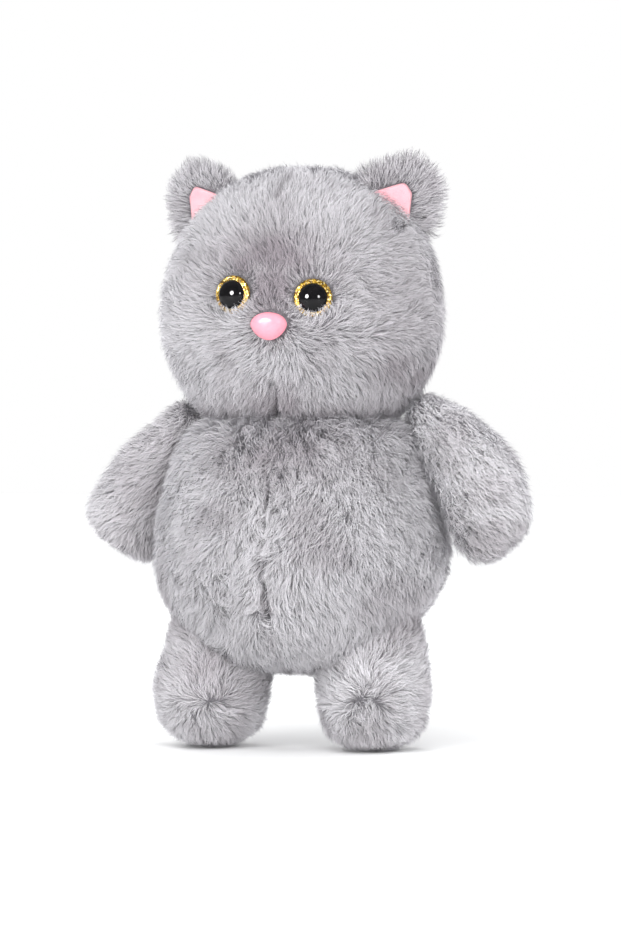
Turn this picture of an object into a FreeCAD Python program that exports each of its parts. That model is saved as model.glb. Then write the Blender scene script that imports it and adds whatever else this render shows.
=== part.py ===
import FreeCAD, Part
import math
import os

import Sketcher
from FreeCAD import Placement, Rotation, Vector

# Stuffed plush cat, standing. Millimetres, +Z up, face towards -Y, origin on the
# floor below the middle of the toy. Pile fabric is drawn as a closed wall as
# thick as backing plus pile; the filling is the solid inside it.

os.makedirs("parts", exist_ok=True)
doc = FreeCAD.newDocument("plush_cat")
sheet = doc.addObject("Spreadsheet::Sheet", "Dimensions")
row = [0]


def cell(alias, value):
    row[0] += 1
    sheet.set("A%d" % row[0], alias)
    sheet.set("B%d" % row[0], repr(float(value)))
    sheet.setAlias("B%d" % row[0], alias)
    return "Dimensions." + alias


# ------------------------------------------------------------- driving sizes
cell("head_wall", 9.0)
cell("trunk_wall", 9.0)
cell("limb_wall", 7.0)
# the filling stands this far inside the fabric all round
cell("fill_gap", 0.5)
cell("arm_fill_wall", 9.0)
cell("head_fill_wall", 9.5)
cell("trunk_fill_wall", 9.5)
cell("limb_fill_wall", 7.5)
cell("joint_gap", 0.5)
cell("neck_level", 179.5)
cell("side_seam", 6.0)
cell("shoulder_level", 178.0)
cell("hip_level", 62.0)
cell("hip_spread", 46.2)
cell("hip_depth", -14.0)
cell("hip_radius", 32.6)
cell("hip_depth_radius", 30.0)
cell("eye_spread", 22.8)
cell("eye_depth", -59.5)
cell("eye_level_left", 246.3)
cell("eye_level_right", 248.6)
cell("eye_ring_radius", 10.4)
cell("eye_pupil_radius", 7.2)
cell("eye_dome_rise", 4.6)
cell("eye_shank_radius", 2.6)
cell("eye_shank_length", 16.0)
cell("eye_washer_radius", 8.5)
cell("eye_washer_thick", 1.6)
cell("socket_radius", 12.2)
cell("socket_depth", 9.0)
cell("nose_level", 232.5)
cell("nose_depth", -65.2)
cell("nose_width", 20.4)
cell("nose_height", 15.0)
cell("nose_rise", 6.4)
cell("ear_wall", 13.0)
cell("ear_lining_thick", 2.6)
cell("ear_turn", 31.0)
cell("arm_lean_left", 32.5)
cell("arm_lean_right", 26.5)
cell("middle_shift", 1.9)
cell("middle_shift_x", -5.35)
for part_wall in ("head", "trunk", "limb"):
    sheet.set(sheet.getCellFromAlias(part_wall + "_fill_wall"), "=%s_wall + fill_gap" % part_wall)
doc.recompute()


def number(alias):
    return float(sheet.get(alias))


# ------------------------------------------------------------------ profiles
# level, half width, half depth, sideways shift, front-back shift of each
# elliptical section, bottom to top
HEAD = [
    (179.75, 47.0, 41.0, 0.0, -4.0),
    (183.5, 54.5, 46.8, 0.0, -4.0),
    (190.5, 62.3, 51.8, 0.0, -3.9),
    (201.5, 69.6, 56.8, 0.0, -3.8),
    (216.5, 76.2, 61.2, 0.0, -4.0),
    (235.0, 79.6, 63.6, 0.0, -4.4),
    (252.0, 78.4, 62.4, 0.0, -3.8),
    (270.0, 74.4, 59.4, 0.0, -2.8),
    (287.0, 66.2, 53.6, 0.0, -1.8),
    (301.0, 54.8, 45.4, 0.0, -1.0),
    (311.0, 41.5, 35.0, 0.0, -0.5),
    (317.5, 27.5, 23.6, 0.0, 0.0),
    (321.0, 12.0, 10.5, 0.0, 0.0),
]
TRUNK = [
    (41.0, 14.0, 12.0, 0.0, -15.0),
    (45.0, 32.0, 28.0, 0.0, -15.0),
    (52.0, 48.0, 44.0, 0.0, -13.5),
    (62.0, 60.5, 56.5, 0.0, -11.0),
    (75.0, 71.5, 67.0, 0.0, -7.5),
    (90.0, 79.2, 74.6, 0.0, -4.0),
    (106.0, 82.4, 77.6, 0.0, -2.0),
    (122.0, 82.0, 77.4, 0.0, -1.5),
    (139.0, 79.0, 74.4, 0.0, -2.0),
    (155.0, 73.8, 69.2, 0.0, -3.0),
    (166.5, 68.0, 63.6, 0.0, -4.0),
    (174.5, 61.5, 57.0, 0.0, -4.5),
    (179.25, 51.0, 47.0, 0.0, -4.5),
]
# along the arm, from above the shoulder to the tip of the paw
ARM_LEFT = [
    (-7.0, 8.5, 8.0, 0.5, 0.0),
    (-1.0, 13.0, 12.0, 1.5, 0.0),
    (10.0, 17.5, 16.0, 3.0, 0.0),
    (24.0, 20.8, 19.2, 5.2, 0.0),
    (38.0, 23.5, 21.0, 8.3, 0.0),
    (54.0, 25.8, 22.6, 9.2, 0.0),
    (68.0, 26.5, 23.0, 6.8, 0.0),
    (80.0, 25.4, 22.0, 3.4, 0.0),
    (88.0, 21.0, 18.6, 1.2, 0.0),
    (93.0, 13.6, 12.4, -1.5, 0.0),
    (95.6, 6.5, 6.0, -3.5, 0.0),
]
ARM_RIGHT = [
    (-7.0, 8.5, 8.0, 0.5, 0.0),
    (-1.0, 12.5, 12.0, 1.5, 0.0),
    (10.0, 16.5, 15.5, 2.0, 0.0),
    (24.0, 20.0, 18.5, 3.2, 0.0),
    (38.0, 23.2, 21.0, 5.6, 0.0),
    (54.0, 25.4, 22.4, 5.8, 0.0),
    (66.0, 25.8, 22.6, 4.8, 0.0),
    (76.0, 24.4, 21.4, 3.2, 0.0),
    (82.5, 20.4, 18.0, 1.6, 0.0),
    (86.5, 13.4, 12.0, 0.0, 0.0),
    (88.8, 6.0, 5.6, -1.0, 0.0),
]
# up the leg, from the sole to the hip
LEG = [
    (0.0, 16.0, 20.0, 0.0, 0.0),
    (4.0, 20.5, 25.5, 0.0, -1.0),
    (11.0, 26.0, 31.5, 0.0, -2.0),
    (22.0, 30.6, 35.6, 0.0, -2.6),
    (35.0, 32.4, 35.0, 0.0, -2.0),
    (49.0, 32.6, 32.3, 0.0, -0.8),
    (62.0, 32.6, 30.0, 0.0, 0.0),
]


def plane_of(body, role):
    for feature in body.Origin.OriginFeatures:
        if feature.Role == role:
            return feature
    raise RuntimeError("no plane " + role)


def ring_sketch(body, name, prefix, i, wall, end_lift, grow=0):
    """One elliptical section, bound to the sheet."""
    sk = body.newObject("Sketcher::SketchObject", name)
    sk.AttachmentSupport = [(plane_of(body, "XY_Plane"), "")]
    sk.MapMode = "FlatFace"
    key = "%s_%d" % (prefix, i)
    sk.setExpression(".AttachmentOffset.Base.x", "Dimensions.%s_shift" % key)
    sk.setExpression(".AttachmentOffset.Base.y", "Dimensions.%s_fore" % key)
    lift = " %s Dimensions.%s" % ("+" if end_lift > 0 else "-", wall) if end_lift and wall else ""
    sk.setExpression(".AttachmentOffset.Base.z", "Dimensions.%s_level%s" % (key, lift))
    wide = number(key + "_wide")
    deep = number(key + "_deep")
    less = number(wall) if wall else -grow
    a, b = max(wide - less, 2.0), max(deep - less, 1.5)
    turned = b >= a
    if turned:
        ell = Part.Ellipse(Vector(0, b, 0), Vector(a, 0, 0), Vector(0, 0, 0))
    else:
        ell = Part.Ellipse(Vector(a, 0, 0), Vector(0, b, 0), Vector(0, 0, 0))
    sk.addGeometry(ell, False)
    sk.exposeInternalGeometry(0)
    sk.addConstraint(Sketcher.Constraint("Coincident", 0, 3, -1, 1))
    sk.addConstraint(Sketcher.Constraint("PointOnObject", 1, 1, -2 if turned else -1))
    first = sk.addConstraint(Sketcher.Constraint("Distance", 1, 2 * max(a, b)))
    second = sk.addConstraint(Sketcher.Constraint("Distance", 2, 2 * min(a, b)))
    big, small = ("deep", "wide") if turned else ("wide", "deep")
    for at, which, low in ((first, big, 2.0 if not turned else 1.5), (second, small, 1.5 if not turned else 2.0)):
        if wall:
            text = "max(2 * (Dimensions.%s_%s - Dimensions.%s); %s)" % (key, which, wall, 2 * low)
        else:
            text = "2 * (Dimensions.%s_%s + %s)" % (key, which, grow)
        sk.setExpression("Constraints[%d]" % at, text)
    return sk


def sections(prefix, table):
    for i, (level, wide, deep, shift, fore) in enumerate(table):
        cell("%s_%d_level" % (prefix, i), level)
        cell("%s_%d_wide" % (prefix, i), wide)
        cell("%s_%d_deep" % (prefix, i), deep)
        cell("%s_%d_shift" % (prefix, i), shift)
        cell("%s_%d_fore" % (prefix, i), fore)
    doc.recompute()


def stuffed(name, prefix, keep, wall=None, mirror=False, grow=0):
    """A lofted form through the elliptical sections of one table."""
    body = doc.addObject("PartDesign::Body", name)
    made = []
    for k, i in enumerate(keep):
        lift = 0
        # a filling ends a little short of the hollow around it
        short = 2.2 if wall and wall.endswith("fill_wall") else 1
        if wall and k == 0:
            lift = short
        if wall and k == len(keep) - 1:
            lift = -short
        made.append(ring_sketch(body, "%s_ring_%d" % (name, i), prefix, i, wall, lift, grow))
    if mirror:
        for sk, i in zip(made, keep):
            sk.setExpression(".AttachmentOffset.Base.x", "-Dimensions.%s_%d_shift" % (prefix, i))
    loft = body.newObject("PartDesign::AdditiveLoft", name + "_loft")
    loft.Profile = made[0]
    loft.Sections = made[1:]
    loft.Ruled = False
    body.Tip = loft
    doc.recompute()
    if loft.Shape.isNull() or not loft.Shape.isValid():
        raise RuntimeError(name + " loft failed")
    return body


def cut(name, base, tool):
    o = doc.addObject("Part::Cut", name)
    o.Base, o.Tool = base, tool
    return o


def common(name, base, tool):
    o = doc.addObject("Part::Common", name)
    o.Base, o.Tool = base, tool
    return o


def fuse(name, shapes):
    o = doc.addObject("Part::MultiFuse", name)
    o.Shapes = shapes
    return o


def box(name, low, high):
    o = doc.addObject("Part::Box", name)
    o.Length, o.Width, o.Height = [h - l for l, h in zip(low, high)]
    o.Placement = Placement(Vector(*low), Rotation())
    return o


sections("head", HEAD)
sections("trunk", TRUNK)
sections("arm_left", ARM_LEFT)
sections("arm_right", ARM_RIGHT)
sections("leg", LEG)

# ---------------------------------------------------------------------- head
head_outer = stuffed("head_outer", "head", range(13))
head_inner = stuffed("head_inner", "head", [1, 3, 4, 5, 6, 7, 8, 9, 10], "head_wall")
head_wad = stuffed("head_wad", "head", [1, 3, 4, 5, 6, 7, 8, 9, 10], "head_fill_wall")


def eye_place(sign):
    """Where an eye sits: local +Z looks out of the face."""
    level = number("eye_level_left" if sign > 0 else "eye_level_right")
    out = Rotation(Vector(0, 0, 1), 12.0 * sign)
    face = Rotation(Vector(1, 0, 0), 90.0 - 2.5)
    return Placement(Vector(sign * number("eye_spread"), number("eye_depth"), level), out.multiply(face))


def nose_place():
    return Placement(Vector(0, number("nose_depth"), number("nose_level")), Rotation(Vector(1, 0, 0), 90.0))


def round_part(name, points):
    """A turned part: points are (radius expression, height expression)."""
    body = doc.addObject("PartDesign::Body", name)
    sk = body.newObject("Sketcher::SketchObject", name + "_half")
    sk.AttachmentSupport = [(plane_of(body, "XZ_Plane"), "")]
    sk.MapMode = "FlatFace"
    n = len(points)

    def value(text):
        scope = {}
        out = 0.0
        for sign, word in [(1 if not t.startswith("-") else -1, t.lstrip("+-")) for t in text.split()]:
            try:
                out += sign * float(word)
            except ValueError:
                out += sign * number(word)
        return out

    def formula(text):
        words = []
        for t in text.split():
            sign = "-" if t.startswith("-") else "+"
            word = t.lstrip("+-")
            try:
                float(word)
                words.append("%s %s" % (sign, word))
            except ValueError:
                words.append("%s Dimensions.%s" % (sign, word))
        return "0 " + " ".join(words)

    xy = [(value(a), value(b)) for a, b in points]
    for i in range(n):
        a, b = xy[i], xy[(i + 1) % n]
        sk.addGeometry(Part.LineSegment(Vector(a[0], a[1], 0), Vector(b[0], b[1], 0)), False)
    for i in range(n):
        sk.addConstraint(Sketcher.Constraint("Coincident", i, 2, (i + 1) % n, 1))
    for i, (a, b) in enumerate(points):
        if abs(xy[i][0]) < 1e-9:
            sk.addConstraint(Sketcher.Constraint("PointOnObject", i, 1, -2))
        else:
            at = sk.addConstraint(Sketcher.Constraint("DistanceX", -1, 1, i, 1, xy[i][0]))
            sk.setExpression("Constraints[%d]" % at, formula(a))
        if abs(xy[i][1]) < 1e-9:
            sk.addConstraint(Sketcher.Constraint("PointOnObject", i, 1, -1))
        else:
            at = sk.addConstraint(Sketcher.Constraint("DistanceY", -1, 1, i, 1, xy[i][1]))
            sk.setExpression("Constraints[%d]" % at, formula(b))
    turn = body.newObject("PartDesign::Revolution", name + "_turn")
    turn.Profile = sk
    turn.ReferenceAxis = (sk, ["V_Axis"])
    turn.Angle = 360
    body.Tip = turn
    doc.recompute()
    return body


parts = {}
eye_tools = []
wad_tools = []
for side, sign in (("left", 1), ("right", -1)):
    place = eye_place(sign)
    # black pupil with its moulded shank
    pupil = round_part(
        "eye_%s_pupil" % side,
        [
            ("0", "-eye_shank_length"),
            ("eye_shank_radius", "-eye_shank_length"),
            ("eye_shank_radius", "-1"),
            ("eye_pupil_radius", "-1"),
            ("eye_pupil_radius", "0.6"),
            ("eye_pupil_radius -0.9", "eye_dome_rise -2.1"),
            ("eye_pupil_radius -2.6", "eye_dome_rise -0.8"),
            ("eye_pupil_radius -4.8", "eye_dome_rise -0.15"),
            ("0", "eye_dome_rise"),
        ],
    )
    pupil.Placement = place
    # glitter ring round the pupil
    ring = round_part(
        "eye_%s_ring" % side,
        [
            ("eye_shank_radius", "-2"),
            ("eye_ring_radius -0.7", "-2"),
            ("eye_ring_radius", "-1.2"),
            ("eye_ring_radius", "-0.4"),
            ("eye_ring_radius -0.8", "0.5"),
            ("eye_pupil_radius", "1.3"),
            ("eye_pupil_radius", "-1"),
            ("eye_shank_radius", "-1"),
        ],
    )
    ring.Placement = place
    # push-on washer behind the fabric
    washer = round_part(
        "eye_%s_washer" % side,
        [
            ("eye_shank_radius", "-6.4"),
            ("eye_washer_radius", "-6.4"),
            ("eye_washer_radius", "-6.4 eye_washer_thick"),
            ("eye_shank_radius", "-6.4 eye_washer_thick"),
        ],
    )
    washer.Placement = place
    parts["eye_pupil_" + side] = pupil
    parts["eye_glitter_ring_" + side] = ring
    parts["eye_lock_washer_" + side] = washer
    # dent of the eye in the face: a cone that opens outwards
    dent = round_part(
        "eye_%s_dent" % side,
        [
            ("0", "-2"),
            ("eye_ring_radius 0.2", "-2"),
            ("socket_radius", "0.5"),
            ("socket_radius 4", "socket_depth"),
            ("0", "socket_depth"),
        ],
    )
    dent.Placement = place
    stem = round_part(
        "eye_%s_stem_hole" % side,
        [("0", "-eye_shank_length"), ("eye_shank_radius", "-eye_shank_length"), ("eye_shank_radius", "2"), ("0", "2")],
    )
    stem.Placement = place
    seat = round_part(
        "eye_%s_washer_seat" % side,
        [
            ("0", "-6.4"),
            ("eye_washer_radius", "-6.4"),
            ("eye_washer_radius", "-6.4 eye_washer_thick"),
            ("0", "-6.4 eye_washer_thick"),
        ],
    )
    seat.Placement = place
    eye_tools += [dent, stem]
    wad_tools += [dent, stem, seat]

# nose: rounded triangle, point down, domed by a large edge round
nose_body = doc.addObject("PartDesign::Body", "nose_button")
nose_sk = nose_body.newObject("Sketcher::SketchObject", "nose_outline")
nose_sk.AttachmentSupport = [(plane_of(nose_body, "XY_Plane"), "")]
nose_sk.MapMode = "FlatFace"
nw, nh = number("nose_width"), number("nose_height")


def rounded(points, radii):
    """Lines and arcs of a polygon with rounded corners."""
    n = len(points)
    legs = []
    for i in range(n):
        p, a, b = Vector(*points[i], 0), Vector(*points[i - 1], 0), Vector(*points[(i + 1) % n], 0)
        u, v = (a - p).normalize(), (b - p).normalize()
        half = math.acos(max(-1, min(1, u.dot(v)))) / 2
        t = radii[i] / math.tan(half)
        mid = (u + v).normalize()
        c = p + mid * (radii[i] / math.sin(half))
        legs.append((p + u * t, c - mid * radii[i], p + v * t))
    out = []
    for i in range(n):
        out.append(Part.Arc(*legs[i]))
        out.append(Part.LineSegment(legs[i][2], legs[(i + 1) % n][0]))
    return out


def draw(sk, geometry):
    """Adds lines and arcs end to end and ties their ends together."""
    ids = [sk.addGeometry(g, False) for g in geometry]
    n = len(ids)
    for i in range(n):
        a, b = geometry[i], geometry[(i + 1) % n]
        end = a.EndPoint if isinstance(a, Part.LineSegment) else a.toShape().valueAt(a.toShape().LastParameter)
        got = []
        for k, (g, pick) in enumerate(((a, (1, 2)), (b, (1, 2)))):
            pts = [sk.getPoint(ids[(i + k) % n], w) for w in pick]
            got.append(pts)
        best = min(((p - q).Length, u + 1, v + 1) for u, p in enumerate(got[0]) for v, q in enumerate(got[1]))
        sk.addConstraint(Sketcher.Constraint("Coincident", ids[i], best[1], ids[(i + 1) % n], best[2]))
    for i in ids:
        sk.addConstraint(Sketcher.Constraint("Block", i))
    return ids


draw(
    nose_sk,
    rounded(
        [(0, -nh * 0.66), (nw * 0.72, nh * 0.5), (-nw * 0.72, nh * 0.5)],
        [4.6, 4.2, 4.2],
    ),
)
nose_pad = nose_body.newObject("PartDesign::Pad", "nose_pad")
nose_pad.Profile = nose_sk
nose_pad.setExpression("Length", "Dimensions.nose_rise")
nose_body.Tip = nose_pad
doc.recompute()
top = [
    "Edge%d" % (i + 1)
    for i, e in enumerate(nose_pad.Shape.Edges)
    if abs(e.CenterOfMass.z - number("nose_rise")) < 1e-6
]
nose_round = nose_body.newObject("PartDesign::Fillet", "nose_dome")
nose_round.Base = (nose_pad, top)
nose_round.Radius = 4.0
nose_body.Tip = nose_round
stem_sk = nose_body.newObject("Sketcher::SketchObject", "nose_stem_circle")
stem_sk.AttachmentSupport = [(plane_of(nose_body, "XY_Plane"), "")]
stem_sk.MapMode = "FlatFace"
stem_sk.addGeometry(Part.Circle(Vector(0, 0, 0), Vector(0, 0, 1), number("eye_shank_radius")), False)
stem_sk.addConstraint(Sketcher.Constraint("Coincident", 0, 3, -1, 1))
at = stem_sk.addConstraint(Sketcher.Constraint("Radius", 0, number("eye_shank_radius")))
stem_sk.setExpression("Constraints[%d]" % at, "Dimensions.eye_shank_radius")
nose_stem = nose_body.newObject("PartDesign::Pad", "nose_stem")
nose_stem.Profile = stem_sk
nose_stem.Reversed = True
nose_stem.setExpression("Length", "Dimensions.eye_shank_length")
nose_body.Tip = nose_stem
nose_body.Placement = nose_place()
doc.recompute()
parts["nose"] = nose_body
nose_washer = round_part(
    "nose_washer",
    [
        ("eye_shank_radius", "-8.6"),
        ("eye_washer_radius", "-8.6"),
        ("eye_washer_radius", "-8.6 eye_washer_thick"),
        ("eye_shank_radius", "-8.6 eye_washer_thick"),
    ],
)
nose_washer.Placement = nose_place()
parts["nose_lock_washer"] = nose_washer
nose_seat = round_part(
    "nose_washer_seat",
    [("0", "-8.6"), ("eye_washer_radius", "-8.6"), ("eye_washer_radius", "-8.6 eye_washer_thick"), ("0", "-8.6 eye_washer_thick")],
)
nose_seat.Placement = nose_place()
nose_hole = round_part(
    "nose_stem_hole",
    [("0", "-eye_shank_length"), ("eye_shank_radius", "-eye_shank_length"), ("eye_shank_radius", "2"), ("0", "2")],
)
nose_hole.Placement = nose_place()
nose_dent = round_part(
    "nose_dent",
    [("0", "0"), ("12.4", "0"), ("14", "8"), ("0", "8")],
)
nose_dent.Placement = nose_place()

face_tools = fuse("face_openings", eye_tools + [nose_hole, nose_dent])
wad_all = fuse("filling_openings", wad_tools + [nose_hole, nose_seat, nose_dent])
face_solid = cut("face_solid", head_outer, face_tools)
head_wall = cut("head_fabric", face_solid, head_inner)
head_fill_0 = cut("head_filling_solid", head_wad, wad_all)
washer_seats = fuse("washer_seats", [o for o in wad_tools if o.Name.endswith("washer_seat")] + [nose_seat])
head_cover = cut("head_cover", head_wall, washer_seats)
seam = number("side_seam")
parts["head_stuffing"] = head_fill_0
parts["face_panel_left"] = common("face_panel_left", head_cover, box("face_left_half", (0, -90, 170), (100, seam, 340)))
parts["face_panel_right"] = common("face_panel_right", head_cover, box("face_right_half", (-100, -90, 170), (0, seam, 340)))
parts["head_back_panel"] = common("head_back_panel", head_cover, box("head_back_half", (-100, seam, 170), (100, 90, 340)))

# ---------------------------------------------------------------------- ears
# q runs along the ear, outwards from the head; v is up
EAR = [(-26.0, 303.0), (-14.5, 319.8), (15.5, 330.6), (35.5, 313.5), (27.5, 281.0), (2.0, 277.0)]
EAR_R = [3.0, 5.0, 9.0, 12.0, 4.0, 4.0]
LINING = [(-9.5, 310.2), (12.6, 316.8), (17.4, 310.5), (14.2, 290.0), (1.0, 293.0)]
LINING_R = [2.0, 2.6, 2.6, 2.0, 2.0]


def ear_place(sign):
    turn = Rotation(Vector(0, 0, 1), sign * number("ear_turn"))
    face = Rotation(Vector(1, 0, 0), 90.0)
    return Placement(Vector(sign * 50.0, -4.0, 0), turn.multiply(face))


def plate(name, outline, radii, sign, start, thick, edge):
    body = doc.addObject("PartDesign::Body", name)
    sk = body.newObject("Sketcher::SketchObject", name + "_outline")
    sk.AttachmentSupport = [(plane_of(body, "XY_Plane"), "")]
    sk.MapMode = "FlatFace"
    sk.AttachmentOffset = Placement(Vector(0, 0, start), Rotation())
    draw(sk, rounded([(sign * q, v) for q, v in outline], radii))
    pad = body.newObject("PartDesign::Pad", name + "_pad")
    pad.Profile = sk
    pad.setExpression("Length", thick)
    body.Tip = pad
    doc.recompute()
    if edge:
        lows = [pad.Shape.BoundBox.ZMin, pad.Shape.BoundBox.ZMax]
        names = [
            "Edge%d" % (i + 1)
            for i, e in enumerate(pad.Shape.Edges)
            if min(abs(e.CenterOfMass.z - z) for z in lows) < 1e-6
        ]
        soft = body.newObject("PartDesign::Fillet", name + "_soft_edge")
        soft.Base = (pad, names)
        soft.Radius = edge
        body.Tip = soft
        doc.recompute()
    body.Placement = ear_place(sign)
    return body


for side, sign in (("left", 1), ("right", -1)):
    shell = plate("ear_%s_form" % side, EAR, EAR_R, sign, -7.0, "Dimensions.ear_wall", 2.6)
    pocket = plate("ear_%s_pocket" % side, LINING, LINING_R, sign, 3.2, "Dimensions.ear_lining_thick + 4", 0)
    pink = plate("ear_%s_pink" % side, LINING, LINING_R, sign, 3.2, "Dimensions.ear_lining_thick", 0)
    hollowed = cut("ear_%s_hollowed" % side, shell, pocket)
    parts["ear_back_" + side] = cut("ear_back_" + side, hollowed, head_outer)
    parts["ear_lining_" + side] = cut("ear_lining_" + side, pink, head_outer)

# --------------------------------------------------------------------- trunk
trunk_outer = stuffed("trunk_outer", "trunk", range(13))
trunk_inner = stuffed("trunk_inner", "trunk", [1, 3, 4, 5, 6, 7, 8, 9, 10, 11], "trunk_wall")
trunk_wad = stuffed("trunk_wad", "trunk", [1, 3, 4, 5, 6, 7, 8, 9, 10, 11], "trunk_fill_wall")


def hip_form(name, side, sign, wide, deep):
    """Turned about the hip's left-right axis, so that it swings in place."""
    o = doc.addObject("Part::Ellipsoid", name + side)
    o.Angle3 = 360
    o.setExpression("Radius2", "Dimensions.hip_radius + %s" % wide)
    o.setExpression("Radius1", "Dimensions.hip_depth_radius + %s" % deep)
    o.setExpression("Radius3", "Dimensions.hip_depth_radius + %s" % deep)
    o.Placement = Placement(Vector(sign * number("hip_spread"), number("hip_depth"), number("hip_level")), Rotation())
    return o


# the hollow that leaves the leg room to swing: distance outwards from the hip,
# and radius about the hip's left-right axis
ROOM = [(-35.5, 30.0), (-31.0, 38.0), (-20.0, 42.5), (0.0, 42.0), (15.0, 36.0), (26.0, 26.0), (32.0, 14.0)]


def hip_hollow(name, sign, extra):
    body = doc.addObject("PartDesign::Body", name)
    sk = body.newObject("Sketcher::SketchObject", name + "_profile")
    sk.AttachmentSupport = [(plane_of(body, "XZ_Plane"), "")]
    sk.MapMode = "FlatFace"
    pts = [(sign * (ROOM[0][0] - extra), 0.0)]
    pts += [(sign * (d + extra * d / 35.0), r + extra) for d, r in ROOM]
    pts += [(sign * (34.5 + extra), 0.0)]
    n = len(pts)
    for i in range(n):
        a, b = pts[i], pts[(i + 1) % n]
        sk.addGeometry(Part.LineSegment(Vector(a[0], a[1], 0), Vector(b[0], b[1], 0)), False)
    for i in range(n):
        sk.addConstraint(Sketcher.Constraint("Coincident", i, 2, (i + 1) % n, 1))
        sk.addConstraint(Sketcher.Constraint("Block", i))
    turn = body.newObject("PartDesign::Revolution", name + "_turn")
    turn.Profile = sk
    turn.ReferenceAxis = (sk, ["H_Axis"])
    turn.Angle = 360
    body.Tip = turn
    body.Placement = Placement(Vector(sign * number("hip_spread"), number("hip_depth"), number("hip_level")), Rotation())
    doc.recompute()
    return body


hollows = [hip_hollow("hip_hollow_left", 1, 0.0), hip_hollow("hip_hollow_right", -1, 0.0)]
linings = [hip_hollow("hip_lining_left", 1, 7.0), hip_hollow("hip_lining_right", -1, 7.0)]
fill_limits = [hip_hollow("hip_fill_limit_left", 1, 7.6), hip_hollow("hip_fill_limit_right", -1, 7.6)]
trunk_solid = cut("trunk_solid", trunk_outer, fuse("hip_hollows", hollows))
trunk_cavity = cut("trunk_cavity", trunk_inner, fuse("hip_linings", linings))
trunk_fill = cut("torso_stuffing", trunk_wad, fuse("hip_fill_limits", fill_limits))
trunk_cover = cut("trunk_cover", trunk_solid, trunk_cavity)
parts["torso_stuffing"] = trunk_fill
for name, low, high in (
    ("belly_panel_left", (0, -100, 20), (120, seam, 200)),
    ("belly_panel_right", (-120, -100, 20), (0, seam, 200)),
    ("back_panel_left", (0, seam, 20), (120, 100, 200)),
    ("back_panel_right", (-120, seam, 20), (0, 100, 200)),
):
    parts[name] = common(name, trunk_cover, box(name + "_half", low, high))

# ---------------------------------------------------------------------- arms
# The inner face of each arm is turned about the shoulder's own left-right axis,
# so that the arm clears the trunk however far it swings.
CLEAR = [(0, 62.5), (5.0, 66.3), (10.5, 69.8), (20.5, 74.6), (37, 79.8), (54, 82.7), (72, 83.2), (130, 83.2)]


def clearance(name, sign, extra, more=0.0):
    body = doc.addObject("PartDesign::Body", name)
    sk = body.newObject("Sketcher::SketchObject", name + "_profile")
    sk.AttachmentSupport = [(plane_of(body, "XZ_Plane"), "")]
    sk.MapMode = "FlatFace"
    pts = [(0.0, 0.0)] + [(sign * (x + extra), r) for r, x in CLEAR[:-1]] + [
        (sign * (CLEAR[-1][1] + extra), CLEAR[-1][0] + more),
        (0.0, CLEAR[-1][0] + more),
    ]
    n = len(pts)
    for i in range(n):
        a, b = pts[i], pts[(i + 1) % n]
        sk.addGeometry(Part.LineSegment(Vector(a[0], a[1], 0), Vector(b[0], b[1], 0)), False)
    for i in range(n):
        sk.addConstraint(Sketcher.Constraint("Coincident", i, 2, (i + 1) % n, 1))
        sk.addConstraint(Sketcher.Constraint("Block", i))
    turn = body.newObject("PartDesign::Revolution", name + "_turn")
    turn.Profile = sk
    turn.ReferenceAxis = (sk, ["H_Axis"])
    turn.Angle = 360
    body.Tip = turn
    body.Placement = Placement(Vector(0, -3.0, number("shoulder_level")), Rotation())
    doc.recompute()
    return body


SWING = {1: 10.0, -1: -2.0}
SHOULDER = {1: (66.0, 187.5), -1: (-64.0, 185.0)}
for side, sign in (("left", 1), ("right", -1)):
    outer = stuffed("arm_%s_outer" % side, "arm_" + side, range(11), None, sign < 0)
    inner = stuffed("arm_%s_inner" % side, "arm_" + side, range(1, 10), "limb_wall", sign < 0)
    wad = stuffed("arm_%s_wad" % side, "arm_" + side, range(1, 9), "arm_fill_wall", sign < 0)
    pivot = Vector(0, -3.0, number("shoulder_level"))
    # local +Z runs from the shoulder to the paw, leaning outwards
    lean = Rotation(Vector(0, 1, 0), 180.0 - sign * number("arm_lean_" + side))
    flip = Rotation(Vector(0, 0, 1), 180.0)
    stand = Placement(Vector(SHOULDER[sign][0], -3.0, SHOULDER[sign][1]), lean.multiply(flip))
    swing = Placement(Vector(0, 0, 0), Rotation(Vector(1, 0, 0), -SWING[sign]), pivot)
    for o in (outer, inner, wad):
        o.Placement = swing.multiply(stand)
    bare = clearance("arm_%s_clearance" % side, sign, number("joint_gap"))
    lined = clearance("arm_%s_clearance_lined" % side, sign, number("joint_gap") + number("limb_wall"))
    fill_limit = clearance("arm_%s_fill_limit" % side, sign, number("joint_gap") + number("arm_fill_wall"), 2.0)
    limb = cut("arm_%s_solid" % side, outer, bare)
    cavity = cut("arm_%s_cavity" % side, inner, lined)
    fill = cut("arm_stuffing_" + side, wad, fill_limit)
    cover = cut("arm_%s_cover" % side, limb, cavity)
    parts["arm_stuffing_" + side] = fill
    front = box("arm_%s_front_half" % side, (-200, -120, 60), (200, 0, 260))
    back = box("arm_%s_back_half" % side, (-200, 0, 60), (200, 120, 260))
    for half in (front, back):
        half.Placement = swing.multiply(Placement(Vector(0, -3.0, 0), Rotation())).multiply(half.Placement)
    parts["arm_front_panel_" + side] = common("arm_front_panel_" + side, cover, front)
    parts["arm_back_panel_" + side] = common("arm_back_panel_" + side, cover, back)

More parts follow.
